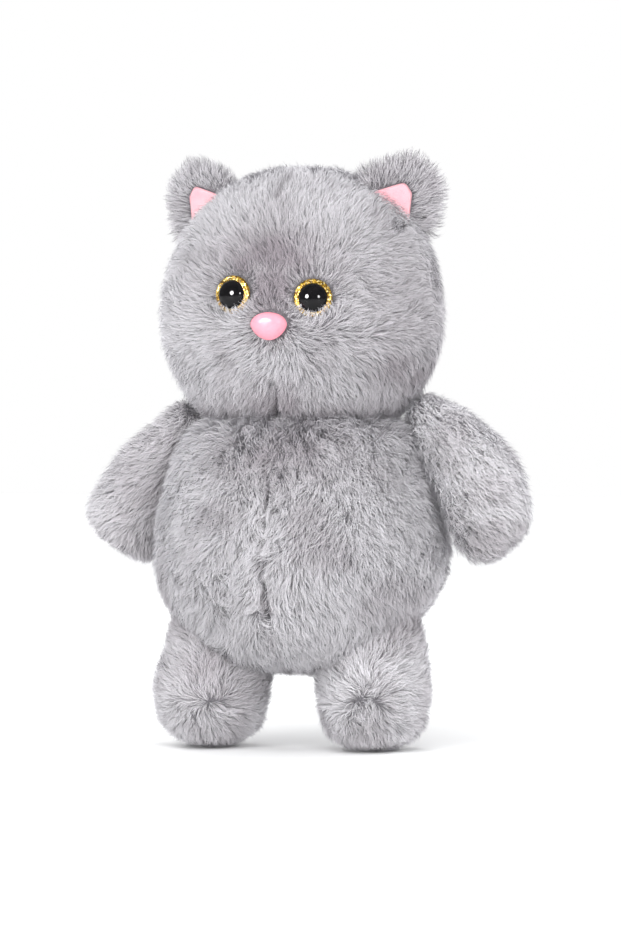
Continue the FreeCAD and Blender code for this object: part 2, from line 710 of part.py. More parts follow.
# ---------------------------------------------------------------------- legs
for side, sign in (("left", 1), ("right", -1)):
    at = Placement(Vector(sign * number("hip_spread"), number("hip_depth"), 0), Rotation())
    outer = stuffed("leg_%s_outer" % side, "leg", range(7))
    inner = stuffed("leg_%s_inner" % side, "leg", [1, 2, 3, 4, 5, 6], "limb_wall")
    wad = stuffed("leg_%s_wad" % side, "leg", [1, 2, 3, 4, 5, 6], "limb_fill_wall")
    # the inner form stops below the hip; the rounded top is added back
    for o in (outer, inner, wad):
        o.Placement = at
    ball = hip_form("leg_ball_", side, sign, "0", "0")
    core = hip_form("leg_core_", side, sign, "0 - Dimensions.limb_wall", "0 - Dimensions.limb_wall")
    wad_core = hip_form("leg_wad_core_", side, sign, "0 - Dimensions.limb_fill_wall", "0 - Dimensions.limb_fill_wall")
    limb = fuse("leg_%s_solid" % side, [outer, ball])
    cavity = fuse("leg_cavity_" + side, [inner, core])
    fill = fuse("leg_stuffing_" + side, [wad, wad_core])
    cover = cut("leg_%s_cover" % side, limb, cavity)
    parts["leg_stuffing_" + side] = fill
    line = number("hip_depth")
    mid = sign * number("hip_spread")
    front = box("leg_%s_front_half" % side, (mid - 45, -90, -5), (mid + 45, line, 120))
    back = box("leg_%s_back_half" % side, (mid - 45, line, -5), (mid + 45, 90, 120))
    parts["leg_front_panel_" + side] = common("leg_front_panel_" + side, cover, front)
    parts["leg_back_panel_" + side] = common("leg_back_panel_" + side, cover, back)

doc.recompute()

for name, o in parts.items():
    o.Label = name

# the middle of the toy's box lies on the origin
for o in parts.values():
    o.Placement = Placement(Vector(number("middle_shift_x"), number("middle_shift"), 0), Rotation()).multiply(o.Placement)
doc.recompute()

bad = [o.Label for o in doc.Objects if any(w in o.State for w in ("Invalid", "Error"))]
for name, o in parts.items():
    if o.Shape.isNull() or not o.Shape.isValid() or len(o.Shape.Solids) < 1:
        bad.append(name)
if bad:
    raise RuntimeError("failed: " + ", ".join(sorted(set(bad))))
for name, o in sorted(parts.items()):
    print("%-24s solids %d volume %9.0f  z %.1f..%.1f  x %.1f..%.1f  y %.1f..%.1f" % (
        name, len(o.Shape.Solids), o.Shape.Volume, o.Shape.BoundBox.ZMin, o.Shape.BoundBox.ZMax,
        o.Shape.BoundBox.XMin, o.Shape.BoundBox.XMax, o.Shape.BoundBox.YMin, o.Shape.BoundBox.YMax))
    o.Shape.exportStep("parts/%s.step" % name)
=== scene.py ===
import math

import bpy
import numpy as np
from mathutils import Matrix, Vector
from mathutils.kdtree import KDTree


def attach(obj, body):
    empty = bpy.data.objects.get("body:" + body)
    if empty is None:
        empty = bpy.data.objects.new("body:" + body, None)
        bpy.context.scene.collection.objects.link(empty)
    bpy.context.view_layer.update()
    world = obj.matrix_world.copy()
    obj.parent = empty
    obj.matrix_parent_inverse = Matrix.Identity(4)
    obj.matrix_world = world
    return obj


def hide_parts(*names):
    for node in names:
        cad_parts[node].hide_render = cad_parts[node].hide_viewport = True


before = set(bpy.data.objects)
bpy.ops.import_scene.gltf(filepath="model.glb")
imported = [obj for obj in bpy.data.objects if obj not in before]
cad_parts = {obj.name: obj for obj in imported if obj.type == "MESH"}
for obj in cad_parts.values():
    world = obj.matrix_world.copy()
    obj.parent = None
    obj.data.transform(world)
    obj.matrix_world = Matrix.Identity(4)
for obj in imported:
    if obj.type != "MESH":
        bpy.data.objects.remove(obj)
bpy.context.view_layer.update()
MM = 0.001
DX, DY = -5.35, 1.9  # from the design's own frame to the row frame, in mm
rng = np.random.default_rng(7)
scene = bpy.context.scene


# ------------------------------------------------------------------ materials
def material(name):
    m = bpy.data.materials.new(name)
    m.use_nodes = True
    nt = m.node_tree
    return m, nt, nt.nodes["Principled BSDF"]


def node(nt, kind, **values):
    n = nt.nodes.new(kind)
    for k, v in values.items():
        if k.startswith("in_"):
            key = k[3:].replace("_", " ")
            n.inputs[key].default_value = v
        else:
            setattr(n, k, v)
    return n


def ramp(nt, stops):
    r = nt.nodes.new("ShaderNodeValToRGB")
    e = r.color_ramp.elements
    while len(e) < len(stops):
        e.new(0.5)
    for s, (at, col) in zip(e, stops):
        s.position = at
        s.color = (*col, 1)
    return r


def fur_material(name, root, mid, tip, warm):
    """Pile: dark at the root, pale at the tip, each hair a little different, with slow changes of tone over the cloth,
    darkened towards a warm grey for its own darker patches and for painted shade.
    """
    m, nt, p = material(name)
    L = nt.links.new
    along = node(nt, "ShaderNodeAttribute", attribute_name="pile_along")
    each = node(nt, "ShaderNodeAttribute", attribute_name="pile_each")
    tone_and_painted_shade = node(nt, "ShaderNodeAttribute", attribute_name="pile_tone_and_painted_shade")
    tone = ramp(nt, [(0.0, root), (0.45, mid), (1.0, tip)])
    L(along.outputs["Fac"], tone.inputs["Fac"])
    # slow variation over the cloth
    tc = node(nt, "ShaderNodeTexCoord")
    slow = node(nt, "ShaderNodeTexNoise", in_Scale=38.0, in_Detail=3.0, in_Roughness=0.6)
    L(tc.outputs["Object"], slow.inputs["Vector"])
    slow_map = node(nt, "ShaderNodeMapRange", in_From_Min=0.3, in_From_Max=0.7, in_To_Min=0.94, in_To_Max=1.06)
    L(slow.outputs["Fac"], slow_map.inputs["Value"])
    each_map = node(nt, "ShaderNodeMapRange", in_From_Min=0.0, in_From_Max=1.0, in_To_Min=0.80, in_To_Max=1.14)
    L(each.outputs["Fac"], each_map.inputs["Value"])
    mul = node(nt, "ShaderNodeMath", operation="MULTIPLY")
    L(slow_map.outputs["Result"], mul.inputs[0])
    L(each_map.outputs["Result"], mul.inputs[1])
    sc = node(nt, "ShaderNodeVectorMath", operation="SCALE")
    L(tone.outputs["Color"], sc.inputs[0])
    L(mul.outputs["Value"], sc.inputs["Scale"])
    # darkening towards the warm grey: the pile's own darker patches and painted shade, as the tone-and-shade attribute
    # gives them
    dark = node(nt, "ShaderNodeMix", data_type="RGBA", blend_type="MULTIPLY")
    L(tone_and_painted_shade.outputs["Fac"], dark.inputs["Factor"])
    L(sc.outputs["Vector"], dark.inputs["A"])
    dark.inputs["B"].default_value = (*warm, 1)
    L(dark.outputs["Result"], p.inputs["Base Color"])
    p.inputs["Roughness"].default_value = 0.68
    p.inputs["Specular IOR Level"].default_value = 0.12
    p.inputs["Sheen Weight"].default_value = 0.35
    p.inputs["Sheen Roughness"].default_value = 0.4
    p.inputs["Sheen Tint"].default_value = (0.9, 0.9, 0.95, 1)
    return m


GREY_ROOT = (0.33, 0.317, 0.335)
GREY_MID = (0.62, 0.603, 0.630)
GREY_TIP = (0.84, 0.825, 0.855)
# warm grey that both the darker patches of the pile and the painted shade darken towards
WARM_DARK_TONE_AND_SHADE = (0.56, 0.515, 0.535)
pile_mat = fur_material("grey_pile", GREY_ROOT, GREY_MID, GREY_TIP, WARM_DARK_TONE_AND_SHADE)
# brighter copies of the same grey pile for the legs and the arms: painted light, the limbs shown as if lit more than
# the head and trunk
leg_pile_painted_light_mat = fur_material("grey_pile_legs_painted_light", (0.40, 0.385, 0.405), (0.68, 0.662, 0.690), (0.88, 0.866, 0.893), WARM_DARK_TONE_AND_SHADE)
arm_pile_painted_light_mat = fur_material("grey_pile_arms_painted_light", (0.45, 0.434, 0.456), (0.72, 0.702, 0.730), (0.90, 0.886, 0.912), WARM_DARK_TONE_AND_SHADE)


def backing_material():
    """Knitted backing seen between the hairs."""
    m, nt, p = material("grey_backing")
    L = nt.links.new
    tc = node(nt, "ShaderNodeTexCoord")
    n1 = node(nt, "ShaderNodeTexNoise", in_Scale=900.0, in_Detail=4.0, in_Roughness=0.7)
    L(tc.outputs["Object"], n1.inputs["Vector"])
    r = ramp(nt, [(0.25, (0.10, 0.096, 0.105)), (0.75, (0.26, 0.25, 0.268))])
    L(n1.outputs["Fac"], r.inputs["Fac"])
    L(r.outputs["Color"], p.inputs["Base Color"])
    b = node(nt, "ShaderNodeBump", in_Strength=0.6, in_Distance=0.0006)
    L(n1.outputs["Fac"], b.inputs["Height"])
    L(b.outputs["Normal"], p.inputs["Normal"])
    p.inputs["Roughness"].default_value = 0.9
    p.inputs["Specular IOR Level"].default_value = 0.1
    return m


backing_mat = backing_material()


def velour_material():
    m, nt, p = material("pink_velour")
    L = nt.links.new
    tc = node(nt, "ShaderNodeTexCoord")
    fine = node(nt, "ShaderNodeTexNoise", in_Scale=1500.0, in_Detail=3.0, in_Roughness=0.65)
    slow = node(nt, "ShaderNodeTexNoise", in_Scale=120.0, in_Detail=3.0)
    L(tc.outputs["Object"], fine.inputs["Vector"])
    L(tc.outputs["Object"], slow.inputs["Vector"])
    mixf = node(nt, "ShaderNodeMath", operation="MULTIPLY_ADD")
    L(fine.outputs["Fac"], mixf.inputs[0])
    mixf.inputs[1].default_value = 0.45
    sl = node(nt, "ShaderNodeMath", operation="MULTIPLY")
    L(slow.outputs["Fac"], sl.inputs[0])
    sl.inputs[1].default_value = 0.55
    L(sl.outputs["Value"], mixf.inputs[2])
    r = ramp(nt, [(0.25, (0.78, 0.34, 0.40)), (0.5, (0.90, 0.45, 0.50)), (0.8, (0.98, 0.56, 0.60))])
    L(mixf.outputs["Value"], r.inputs["Fac"])
    L(r.outputs["Color"], p.inputs["Base Color"])
    b = node(nt, "ShaderNodeBump", in_Strength=0.5, in_Distance=0.0003)
    L(fine.outputs["Fac"], b.inputs["Height"])
    L(b.outputs["Normal"], p.inputs["Normal"])
    p.inputs["Roughness"].default_value = 0.85
    p.inputs["Specular IOR Level"].default_value = 0.15
    p.inputs["Sheen Weight"].default_value = 0.25
    p.inputs["Sheen Roughness"].default_value = 0.35
    p.inputs["Sheen Tint"].default_value = (1.0, 0.85, 0.88, 1)
    return m


def nose_material():
    m, nt, p = material("pink_plastic")
    L = nt.links.new
    tc = node(nt, "ShaderNodeTexCoord")
    n1 = node(nt, "ShaderNodeTexNoise", in_Scale=160.0, in_Detail=3.0)
    L(tc.outputs["Object"], n1.inputs["Vector"])
    r = ramp(nt, [(0.3, (0.96, 0.30, 0.37)), (0.7, (1.0, 0.35, 0.43))])
    L(n1.outputs["Fac"], r.inputs["Fac"])
    L(r.outputs["Color"], p.inputs["Base Color"])
    fine = node(nt, "ShaderNodeTexNoise", in_Scale=900.0, in_Detail=2.0)
    L(tc.outputs["Object"], fine.inputs["Vector"])
    b = node(nt, "ShaderNodeBump", in_Strength=0.04, in_Distance=0.0002)
    L(fine.outputs["Fac"], b.inputs["Height"])
    L(b.outputs["Normal"], p.inputs["Normal"])
    p.inputs["Roughness"].default_value = 0.18
    p.inputs["Specular IOR Level"].default_value = 0.14
    p.inputs["Coat Weight"].default_value = 0.0
    p.inputs["Coat Roughness"].default_value = 0.1
    p.inputs["Subsurface Weight"].default_value = 0.0
    return m


def pupil_material():
    m, nt, p = material("black_plastic")
    L = nt.links.new
    tc = node(nt, "ShaderNodeTexCoord")
    n1 = node(nt, "ShaderNodeTexNoise", in_Scale=300.0, in_Detail=2.0)
    L(tc.outputs["Object"], n1.inputs["Vector"])
    r = ramp(nt, [(0.3, (0.003, 0.003, 0.0035)), (0.7, (0.008, 0.007, 0.008))])
    L(n1.outputs["Fac"], r.inputs["Fac"])
    L(r.outputs["Color"], p.inputs["Base Color"])
    p.inputs["Roughness"].default_value = 0.07
    p.inputs["Specular IOR Level"].default_value = 0.24
    p.inputs["Coat Weight"].default_value = 0.0
    p.inputs["Coat Roughness"].default_value = 0.03
    return m


def glitter_material():
    """Metal flakes set in clear plastic: each flake its own gold and its own tilt."""
    m, nt, p = material("gold_glitter")
    L = nt.links.new
    tc = node(nt, "ShaderNodeTexCoord")
    v = node(nt, "ShaderNodeTexVoronoi", in_Scale=1500.0)
    L(tc.outputs["Object"], v.inputs["Vector"])
    sep = node(nt, "ShaderNodeSeparateColor")
    L(v.outputs["Color"], sep.inputs["Color"])
    r = ramp(
        nt,
        [
            (0.0, (0.045, 0.022, 0.002)),
            (0.32, (0.17, 0.085, 0.006)),
            (0.62, (0.42, 0.235, 0.018)),
            (0.86, (0.85, 0.56, 0.07)),
            (1.0, (1.0, 0.92, 0.50)),
        ],
    )
    L(sep.outputs["Red"], r.inputs["Fac"])
    L(r.outputs["Color"], p.inputs["Base Color"])
    b = node(nt, "ShaderNodeBump", in_Strength=0.9, in_Distance=0.0004)
    L(sep.outputs["Green"], b.inputs["Height"])
    L(b.outputs["Normal"], p.inputs["Normal"])
    p.inputs["Metallic"].default_value = 0.75
    p.inputs["Roughness"].default_value = 0.28
    p.inputs["Coat Weight"].default_value = 0.6
    p.inputs["Coat Roughness"].default_value = 0.05
    return m


def washer_material():
    m, nt, p = material("washer_plastic")
    L = nt.links.new
    tc = node(nt, "ShaderNodeTexCoord")
    n1 = node(nt, "ShaderNodeTexNoise", in_Scale=400.0, in_Detail=3.0)
    L(tc.outputs["Object"], n1.inputs["Vector"])
    r = ramp(nt, [(0.3, (0.78, 0.78, 0.75)), (0.7, (0.86, 0.86, 0.83))])
    L(n1.outputs["Fac"], r.inputs["Fac"])
    L(r.outputs["Color"], p.inputs["Base Color"])
    p.inputs["Roughness"].default_value = 0.5
    return m


velour_mat = velour_material()
nose_mat = nose_material()
pupil_mat = pupil_material()
glitter_mat = glitter_material()
washer_mat = washer_material()


# ---------------------------------------------------------------------- noise
def _hash(i, j, k, seed):
    h = (i * 73856093) ^ (j * 19349663) ^ (k * 83492791) ^ (seed * 2654435761)
    h = (h ^ (h >> 13)) & 0xFFFFFFFF
    h = (h * 1274126177) & 0xFFFFFFFF
    return ((h ^ (h >> 16)) & 0xFFFF) / 65535.0


def noise(p, size, seed=0):
    """Smooth value noise, 0 to 1, with cells of that size."""
    q = p / size
    f = np.floor(q).astype(np.int64)
    t = q - f
    t = t * t * (3 - 2 * t)
    out = np.zeros(len(p))
    for a in (0, 1):
        for b in (0, 1):
            for c in (0, 1):
                w = (
                    (t[:, 0] if a else 1 - t[:, 0])
                    * (t[:, 1] if b else 1 - t[:, 1])
                    * (t[:, 2] if c else 1 - t[:, 2])
                )
                out += w * _hash(f[:, 0] + a, f[:, 1] + b, f[:, 2] + c, seed)
    return out


def noise3(p, size, seed=0):
    return np.stack([noise(p, size, seed + 11 * k) for k in range(3)], axis=1) * 2 - 1


def unit(v):
    return v / np.maximum(np.linalg.norm(v, axis=-1, keepdims=True), 1e-12)


def smooth(x, a, b):
    t = np.clip((x - a) / (b - a), 0, 1)
    return t * t * (3 - 2 * t)


# ---------------------------------------------------------------- base forms
# level, half width, half depth, sideways shift, front-back shift, mm
HEAD = [
    (178.6, 0.0, 0.0, 0.0, -4.0),
    (178.8, 34.0, 30.0, 0.0, -4.0),
    (180.6, 49.0, 42.6, 0.0, -4.0),
    (184.5, 56.6, 48.6, 0.0, -4.0),
    (190.5, 63.0, 52.4, 0.0, -3.9),
    (201.5, 70.2, 57.4, 0.0, -3.8),
    (216.5, 76.8, 61.8, 0.0, -4.0),
    (235.0, 80.2, 64.0, 0.0, -4.4),
    (252.0, 79.0, 62.8, 0.0, -3.8),
    (270.0, 75.0, 59.8, 0.0, -2.8),
    (287.0, 66.8, 54.0, 0.0, -1.8),
    (301.0, 55.4, 46.0, 0.0, -1.0),
    (311.0, 42.2, 35.6, 0.0, -0.5),
    (317.5, 28.4, 24.4, 0.0, 0.0),
    (321.0, 12.8, 11.2, 0.0, 0.0),
    (321.6, 0.0, 0.0, 0.0, 0.0),
]
TRUNK = [
    (40.4, 0.0, 0.0, 0.0, -15.0),
    (41.4, 15.0, 13.0, 0.0, -15.0),
    (45.0, 32.0, 28.0, 0.0, -15.0),
    (52.0, 48.0, 44.0, 0.0, -13.5),
    (62.0, 60.5, 56.5, 0.0, -11.0),
    (75.0, 71.5, 67.0, 0.0, -7.5),
    (90.0, 79.2, 74.6, 0.0, -4.0),
    (106.0, 82.6, 77.6, 0.0, -2.0),
    (122.0, 82.2, 77.4, 0.0, -1.5),
    (139.0, 79.2, 74.6, 0.0, -2.0),
    (155.0, 74.2, 69.6, 0.0, -3.0),
    (166.5, 69.0, 64.4, 0.0, -4.0),
    (174.5, 62.8, 58.0, 0.0, -4.5),
    (180.4, 52.0, 47.6, 0.0, -4.5),
    (183.0, 30.0, 28.0, 0.0, -4.5),
    (183.4, 0.0, 0.0, 0.0, -4.5),
]
ARM_LEFT = [
    (-9.6, 0.0, 0.0, 0.2, 0.0),
    (-8.0, 9.6, 9.0, 0.6, 0.0),
    (-1.0, 14.0, 13.0, 1.5, 0.0),
    (10.0, 18.0, 16.6, 3.0, 0.0),
    (24.0, 21.0, 19.4, 5.2, 0.0),
    (38.0, 23.5, 21.0, 8.3, 0.0),
    (54.0, 24.8, 22.6, 8.4, 0.0),
    (68.0, 25.0, 23.0, 6.0, 0.0),
    (80.0, 24.0, 22.0, 3.0, 0.0),
    (88.0, 20.2, 18.6, 1.2, 0.0),
    (93.0, 13.6, 12.4, -1.5, 0.0),
    (95.6, 6.5, 6.0, -3.5, 0.0),
    (96.4, 0.0, 0.0, -4.0, 0.0),
]
ARM_RIGHT = [
    (-9.6, 0.0, 0.0, 0.2, 0.0),
    (-8.0, 9.6, 9.0, 0.6, 0.0),
    (-1.0, 13.5, 12.6, 1.5, 0.0),
    (10.0, 17.0, 16.0, 2.0, 0.0),
    (24.0, 20.2, 18.7, 3.2, 0.0),
    (38.0, 23.2, 21.0, 5.6, 0.0),
    (54.0, 25.4, 22.4, 5.8, 0.0),
    (66.0, 27.4, 22.6, 6.4, 0.0),
    (76.0, 26.8, 21.8, 5.6, 0.0),
    (82.5, 23.0, 18.8, 4.2, 0.0),
    (86.5, 15.6, 12.8, 2.0, 0.0),
    (88.8, 6.0, 5.6, -1.0, 0.0),
    (89.6, 0.0, 0.0, -1.4, 0.0),
]
LEG = [
    (-0.2, 0.0, 0.0, 0.0, 0.0),
    (0.0, 14.5, 18.5, 0.0, 0.0),
    (4.0, 20.5, 25.5, 0.0, -1.0),
    (11.0, 26.2, 31.7, 0.0, -2.0),
    (22.0, 30.8, 35.8, 0.0, -2.6),
    (35.0, 32.6, 35.2, 0.0, -2.0),
    (49.0, 32.8, 33.4, 0.0, -0.8),
    (62.0, 32.4, 31.8, 0.0, 0.0),
    (75.0, 28.3, 27.2, 0.0, 0.0),
    (84.0, 20.3, 19.3, 0.0, 0.0),
    (90.0, 9.0, 9.0, 0.0, 0.0),
    (91.4, 0.0, 0.0, 0.0, 0.0),
]


def spline(table, n):
    """The sections again, evenly spaced along the profile, on a Catmull-Rom curve."""
    t = np.array(table, float)
    step = np.hypot(np.diff(t[:, 0]), np.diff((t[:, 1] + t[:, 2]) / 2))
    u = np.concatenate([[0], np.cumsum(np.maximum(step, 1e-3))])
    at = np.linspace(0, u[-1], n)
    out = np.zeros((n, t.shape[1]))
    m = np.gradient(t, u, axis=0)
    k = np.clip(np.searchsorted(u, at, side="right") - 1, 0, len(u) - 2)
    d = (u[k + 1] - u[k])[:, None]
    s = ((at - u[k]) / (u[k + 1] - u[k]))[:, None]
    out = (
        (2 * s**3 - 3 * s**2 + 1) * t[k]
        + (s**3 - 2 * s**2 + s) * d * m[k]
        + (-2 * s**3 + 3 * s**2) * t[k + 1]
        + (s**3 - s**2) * d * m[k + 1]
    )
    out[:, 1:3] = np.maximum(out[:, 1:3], 0)
    out[0, 1:3] = out[-1, 1:3] = 0
    return out


def form(table, rings, around, inset=0.0):
    """Closed skin through elliptical sections, pushed in by inset: points in metres, quads and triangles."""
    s = spline(table, rings)
    a = np.linspace(0, 2 * math.pi, around, endpoint=False)
    level, wide, deep, shift, fore = s.T
    grid = np.stack(
        [
            shift[1:-1, None] + wide[1:-1, None] * np.cos(a),
            fore[1:-1, None] + deep[1:-1, None] * np.sin(a),
            level[1:-1, None] + 0 * a,
        ],
        axis=2,
    )
    pts = [(shift[0], fore[0], level[0])] + grid.reshape(-1, 3).tolist() + [(shift[-1], fore[-1], level[-1])]
    v = np.array(pts)
    faces = []
    r = rings - 2
    for j in range(around):
        faces.append((0, 1 + (j + 1) % around, 1 + j))
        e = 1 + (r - 1) * around
        faces.append((len(v) - 1, e + j, e + (j + 1) % around))
    for i in range(r - 1):
        for j in range(around):
            b = 1 + i * around
            faces.append((b + j, b + (j + 1) % around, b + around + (j + 1) % around, b + around + j))
    if inset:
        n = normals_of(v, faces)
        v = v - n * inset
    return v * MM, faces


def normals_of(v, faces):
    n = np.zeros_like(v)
    quads = np.array([f for f in faces if len(f) == 4])
    tris = np.array([f for f in faces if len(f) == 3])
    for group in (quads, tris):
        if not len(group):
            continue
        a = v[group[:, 0]]
        b = v[group[:, 1]]
        c = v[group[:, 2]]
        d = v[group[:, 3]] if group.shape[1] == 4 else c
        f = np.cross(c - a, d - b) if group.shape[1] == 4 else np.cross(b - a, c - a)
        for k in range(group.shape[1]):
            np.add.at(n, group[:, k], f)
    return unit(n)


def put(v, matrix):
    return v @ np.array(matrix.to_3x3()).T + np.array(matrix.translation)


def mesh_object(name, v, faces, mat, flat=False):
    me = bpy.data.meshes.new(name)
    me.from_pydata([tuple(p) for p in v], [], [tuple(int(i) for i in f) for f in faces])
    me.validate()
    me.update()
    me.materials.append(mat)
    if not flat:
        me.polygons.foreach_set("use_smooth", [True] * len(me.polygons))
    o = bpy.data.objects.new(name, me)
    o.location.x = DX * MM
    scene.collection.objects.link(o)
    return o


def points_of(o):
    v = np.zeros(len(o.data.vertices) * 3)
    o.data.vertices.foreach_get("co", v)
    return v.reshape(-1, 3)


def move_points(o, v):
    o.data.vertices.foreach_set("co", v.astype(np.float32).ravel())
    o.data.update()


def stuff(o, held, pressure, cap, frames=20):
    """Fills the cloth: it swells between its seams. held is how firmly each point is kept, 0 to 1."""
    before = points_of(o)
    group = o.vertex_groups.new(name="seams")
    for level in range(0, 11):
        ids = np.flatnonzero(np.round(held * 10).astype(int) == level)
        if len(ids) and level:
            group.add([int(i) for i in ids], level / 10, "REPLACE")
    mod = o.modifiers.new("cloth", "CLOTH")
    s = mod.settings
    s.quality = 5
    s.mass = 0.3
    s.tension_stiffness = s.compression_stiffness = 12
    s.shear_stiffness = 8
    s.bending_stiffness = 0.6
    s.use_pressure = True
    s.uniform_pressure_force = pressure
    s.effector_weights.gravity = 0
    s.vertex_group_mass = "seams"
    s.pin_stiffness = 1.0
    mod.collision_settings.use_collision = False
    mod.collision_settings.use_self_collision = False
    mod.point_cache.frame_start, mod.point_cache.frame_end = 1, frames
    for f in range(1, frames + 1):
        scene.frame_set(f)
    dg = bpy.context.evaluated_depsgraph_get()
    e = o.evaluated_get(dg)
    after = np.zeros(len(before) * 3)
    e.data.vertices.foreach_get("co", after)
    after = after.reshape(-1, 3)
    o.modifiers.remove(mod)
    o.vertex_groups.remove(group)
    scene.frame_set(1)
    move = after - before
    if not np.isfinite(move).all():
        move[:] = 0
    far = np.linalg.norm(move, axis=1, keepdims=True)
    move *= np.minimum(1, cap / np.maximum(far, 1e-9))
    move_points(o, before + move)
    return o


# ----------------------------------------------------------------------- pile
def tri_data(v, faces):
    t = []
    for f in faces:
        t.append(f[:3])
        if len(f) == 4:
            t.append((f[0], f[2], f[3]))
    t = np.array(t)
    return t


def roots(v, faces, n_of, per_mm2):
    t = tri_data(v, faces)
    a, b, c = v[t[:, 0]], v[t[:, 1]], v[t[:, 2]]
    area = np.linalg.norm(np.cross(b - a, c - a), axis=1) / 2
    count = int(area.sum() * 1e6 * per_mm2)
    pick = np.searchsorted(np.cumsum(area), (np.arange(count) + rng.random(count)) / count * area.sum())
    pick = np.clip(pick, 0, len(t) - 1)
    r1, r2 = rng.random(count), rng.random(count)
    s = np.sqrt(r1)
    w = np.stack([1 - s, s * (1 - r2), s * r2], axis=1)[:, :, None]
    p = (np.stack([a[pick], b[pick], c[pick]], axis=1) * w).sum(1)
    nn = n_of[t[pick]]
    n = unit((nn * w).sum(1))
    return p, n


def tufts(p, size):
    """The tufts of the pile: which tuft each hair is in, and the hair each tuft gathers at."""
    cells = np.floor(p / size + rng.random(3)).astype(np.int64)
    key = cells[:, 0] * 1000003 + cells[:, 1] * 1009 + cells[:, 2]
    _, first = np.unique(key, return_index=True)
    tree = KDTree(len(first))
    for i, q in enumerate(p[first]):
        tree.insert(q, i)
    tree.balance()
    return np.array([tree.find(q)[1] for q in p]), first


def grow(name, body, p, n, comb, length, lift, tone_and_painted_shade, width=0.00024, clump=0.0019, pull=0.27, wild=0.36, under=0.5):
    """Long hairs of three faces in tufts, and a short undercoat of one face each."""
    count = len(p)
    comb = comb - (comb * n).sum(1, keepdims=True) * n
    comb = unit(comb)
    short = rng.random(count) < under
    length = length * (0.80 + 0.40 * rng.random(count)) * np.where(short, 0.66, 1.0)
    lean = np.clip(lift * (1 + 0.22 * rng.standard_normal(count)) + 0.2 * short, 0.15, 4.0)[:, None]
    jit = rng.standard_normal((count, 3)) * np.where(short, 0.5, wild)[:, None]
    way = unit(n * lean + comb + jit)
    ln = length[:, None]
    tip = p + way * ln
    long = ~short
    each = rng.random(count)
    for size, much in ((clump, pull), (clump * 3.1, pull * 0.45)):
        near, first = tufts(p[long], size)
        goal = tip[long][first][near]
        share = (much * (0.55 + 0.45 * rng.random(long.sum())))[:, None]
        moved = tip[long] + (goal - tip[long]) * share
        tip[long] = moved
        tone = rng.random(len(first))[near]
        each[long] = each[long] * 0.76 + tone * 0.24
    tip[:, 2] = np.maximum(tip[:, 2], 0.0003)
    up = unit(tip - p)
    roll = rng.standard_normal((count, 3)) * 0.4
    side = unit(np.cross(up, n + roll))
    w = (width * (0.75 + 0.5 * rng.random(count)))[:, None]
    sunk = n * 0.0006
    jn = n + roll * 0.28
    spread = side * 0.7
    a, b = p - side * w * 0.5 - sunk, p + side * w * 0.5 - sunk
    bend = p + n * (ln * (0.20 + 0.14 * np.minimum(lean, 1.2))) + (tip - p) * 0.36
    c, d = bend + side * w * 0.46, bend - side * w * 0.46
    L = long
    full = (
        np.stack([a, b, c, d, tip], axis=1)[L],
        unit(np.stack([jn - spread, jn + spread, jn + spread * 0.9, jn - spread * 0.9, jn + up * 0.3], axis=1)[L]),
        np.array([0.0, 0.0, 0.5, 0.5, 1.0]),
        np.array([0, 1, 2, 0, 2, 3, 3, 2, 4]),
        np.array([[0.12, 0.08], [0.88, 0.08], [0.8, 0.5], [0.2, 0.5], [0.5, 0.94]]),
        each[L],
        tone_and_painted_shade[L],
    )
    S = short
    fluff = (
        np.stack([a, b, tip], axis=1)[S],
        unit(np.stack([jn - spread, jn + spread, jn + up * 0.2], axis=1)[S]),
        np.array([0.0, 0.0, 0.66]),
        np.array([0, 1, 2]),
        np.array([[0.12, 0.08], [0.88, 0.08], [0.5, 0.94]]),
        each[S],
        tone_and_painted_shade[S],
    )
    faces = 3 * L.sum() + S.sum()
    parts = max(1, math.ceil(faces / 176000))
    for k in range(parts):
        groups = [tuple(x if i in (2, 3, 4) else x[k::parts] for i, x in enumerate(g)) for g in (full, fluff)]
        blades(name if parts == 1 else "%s_%d" % (name, k + 1), body, groups)


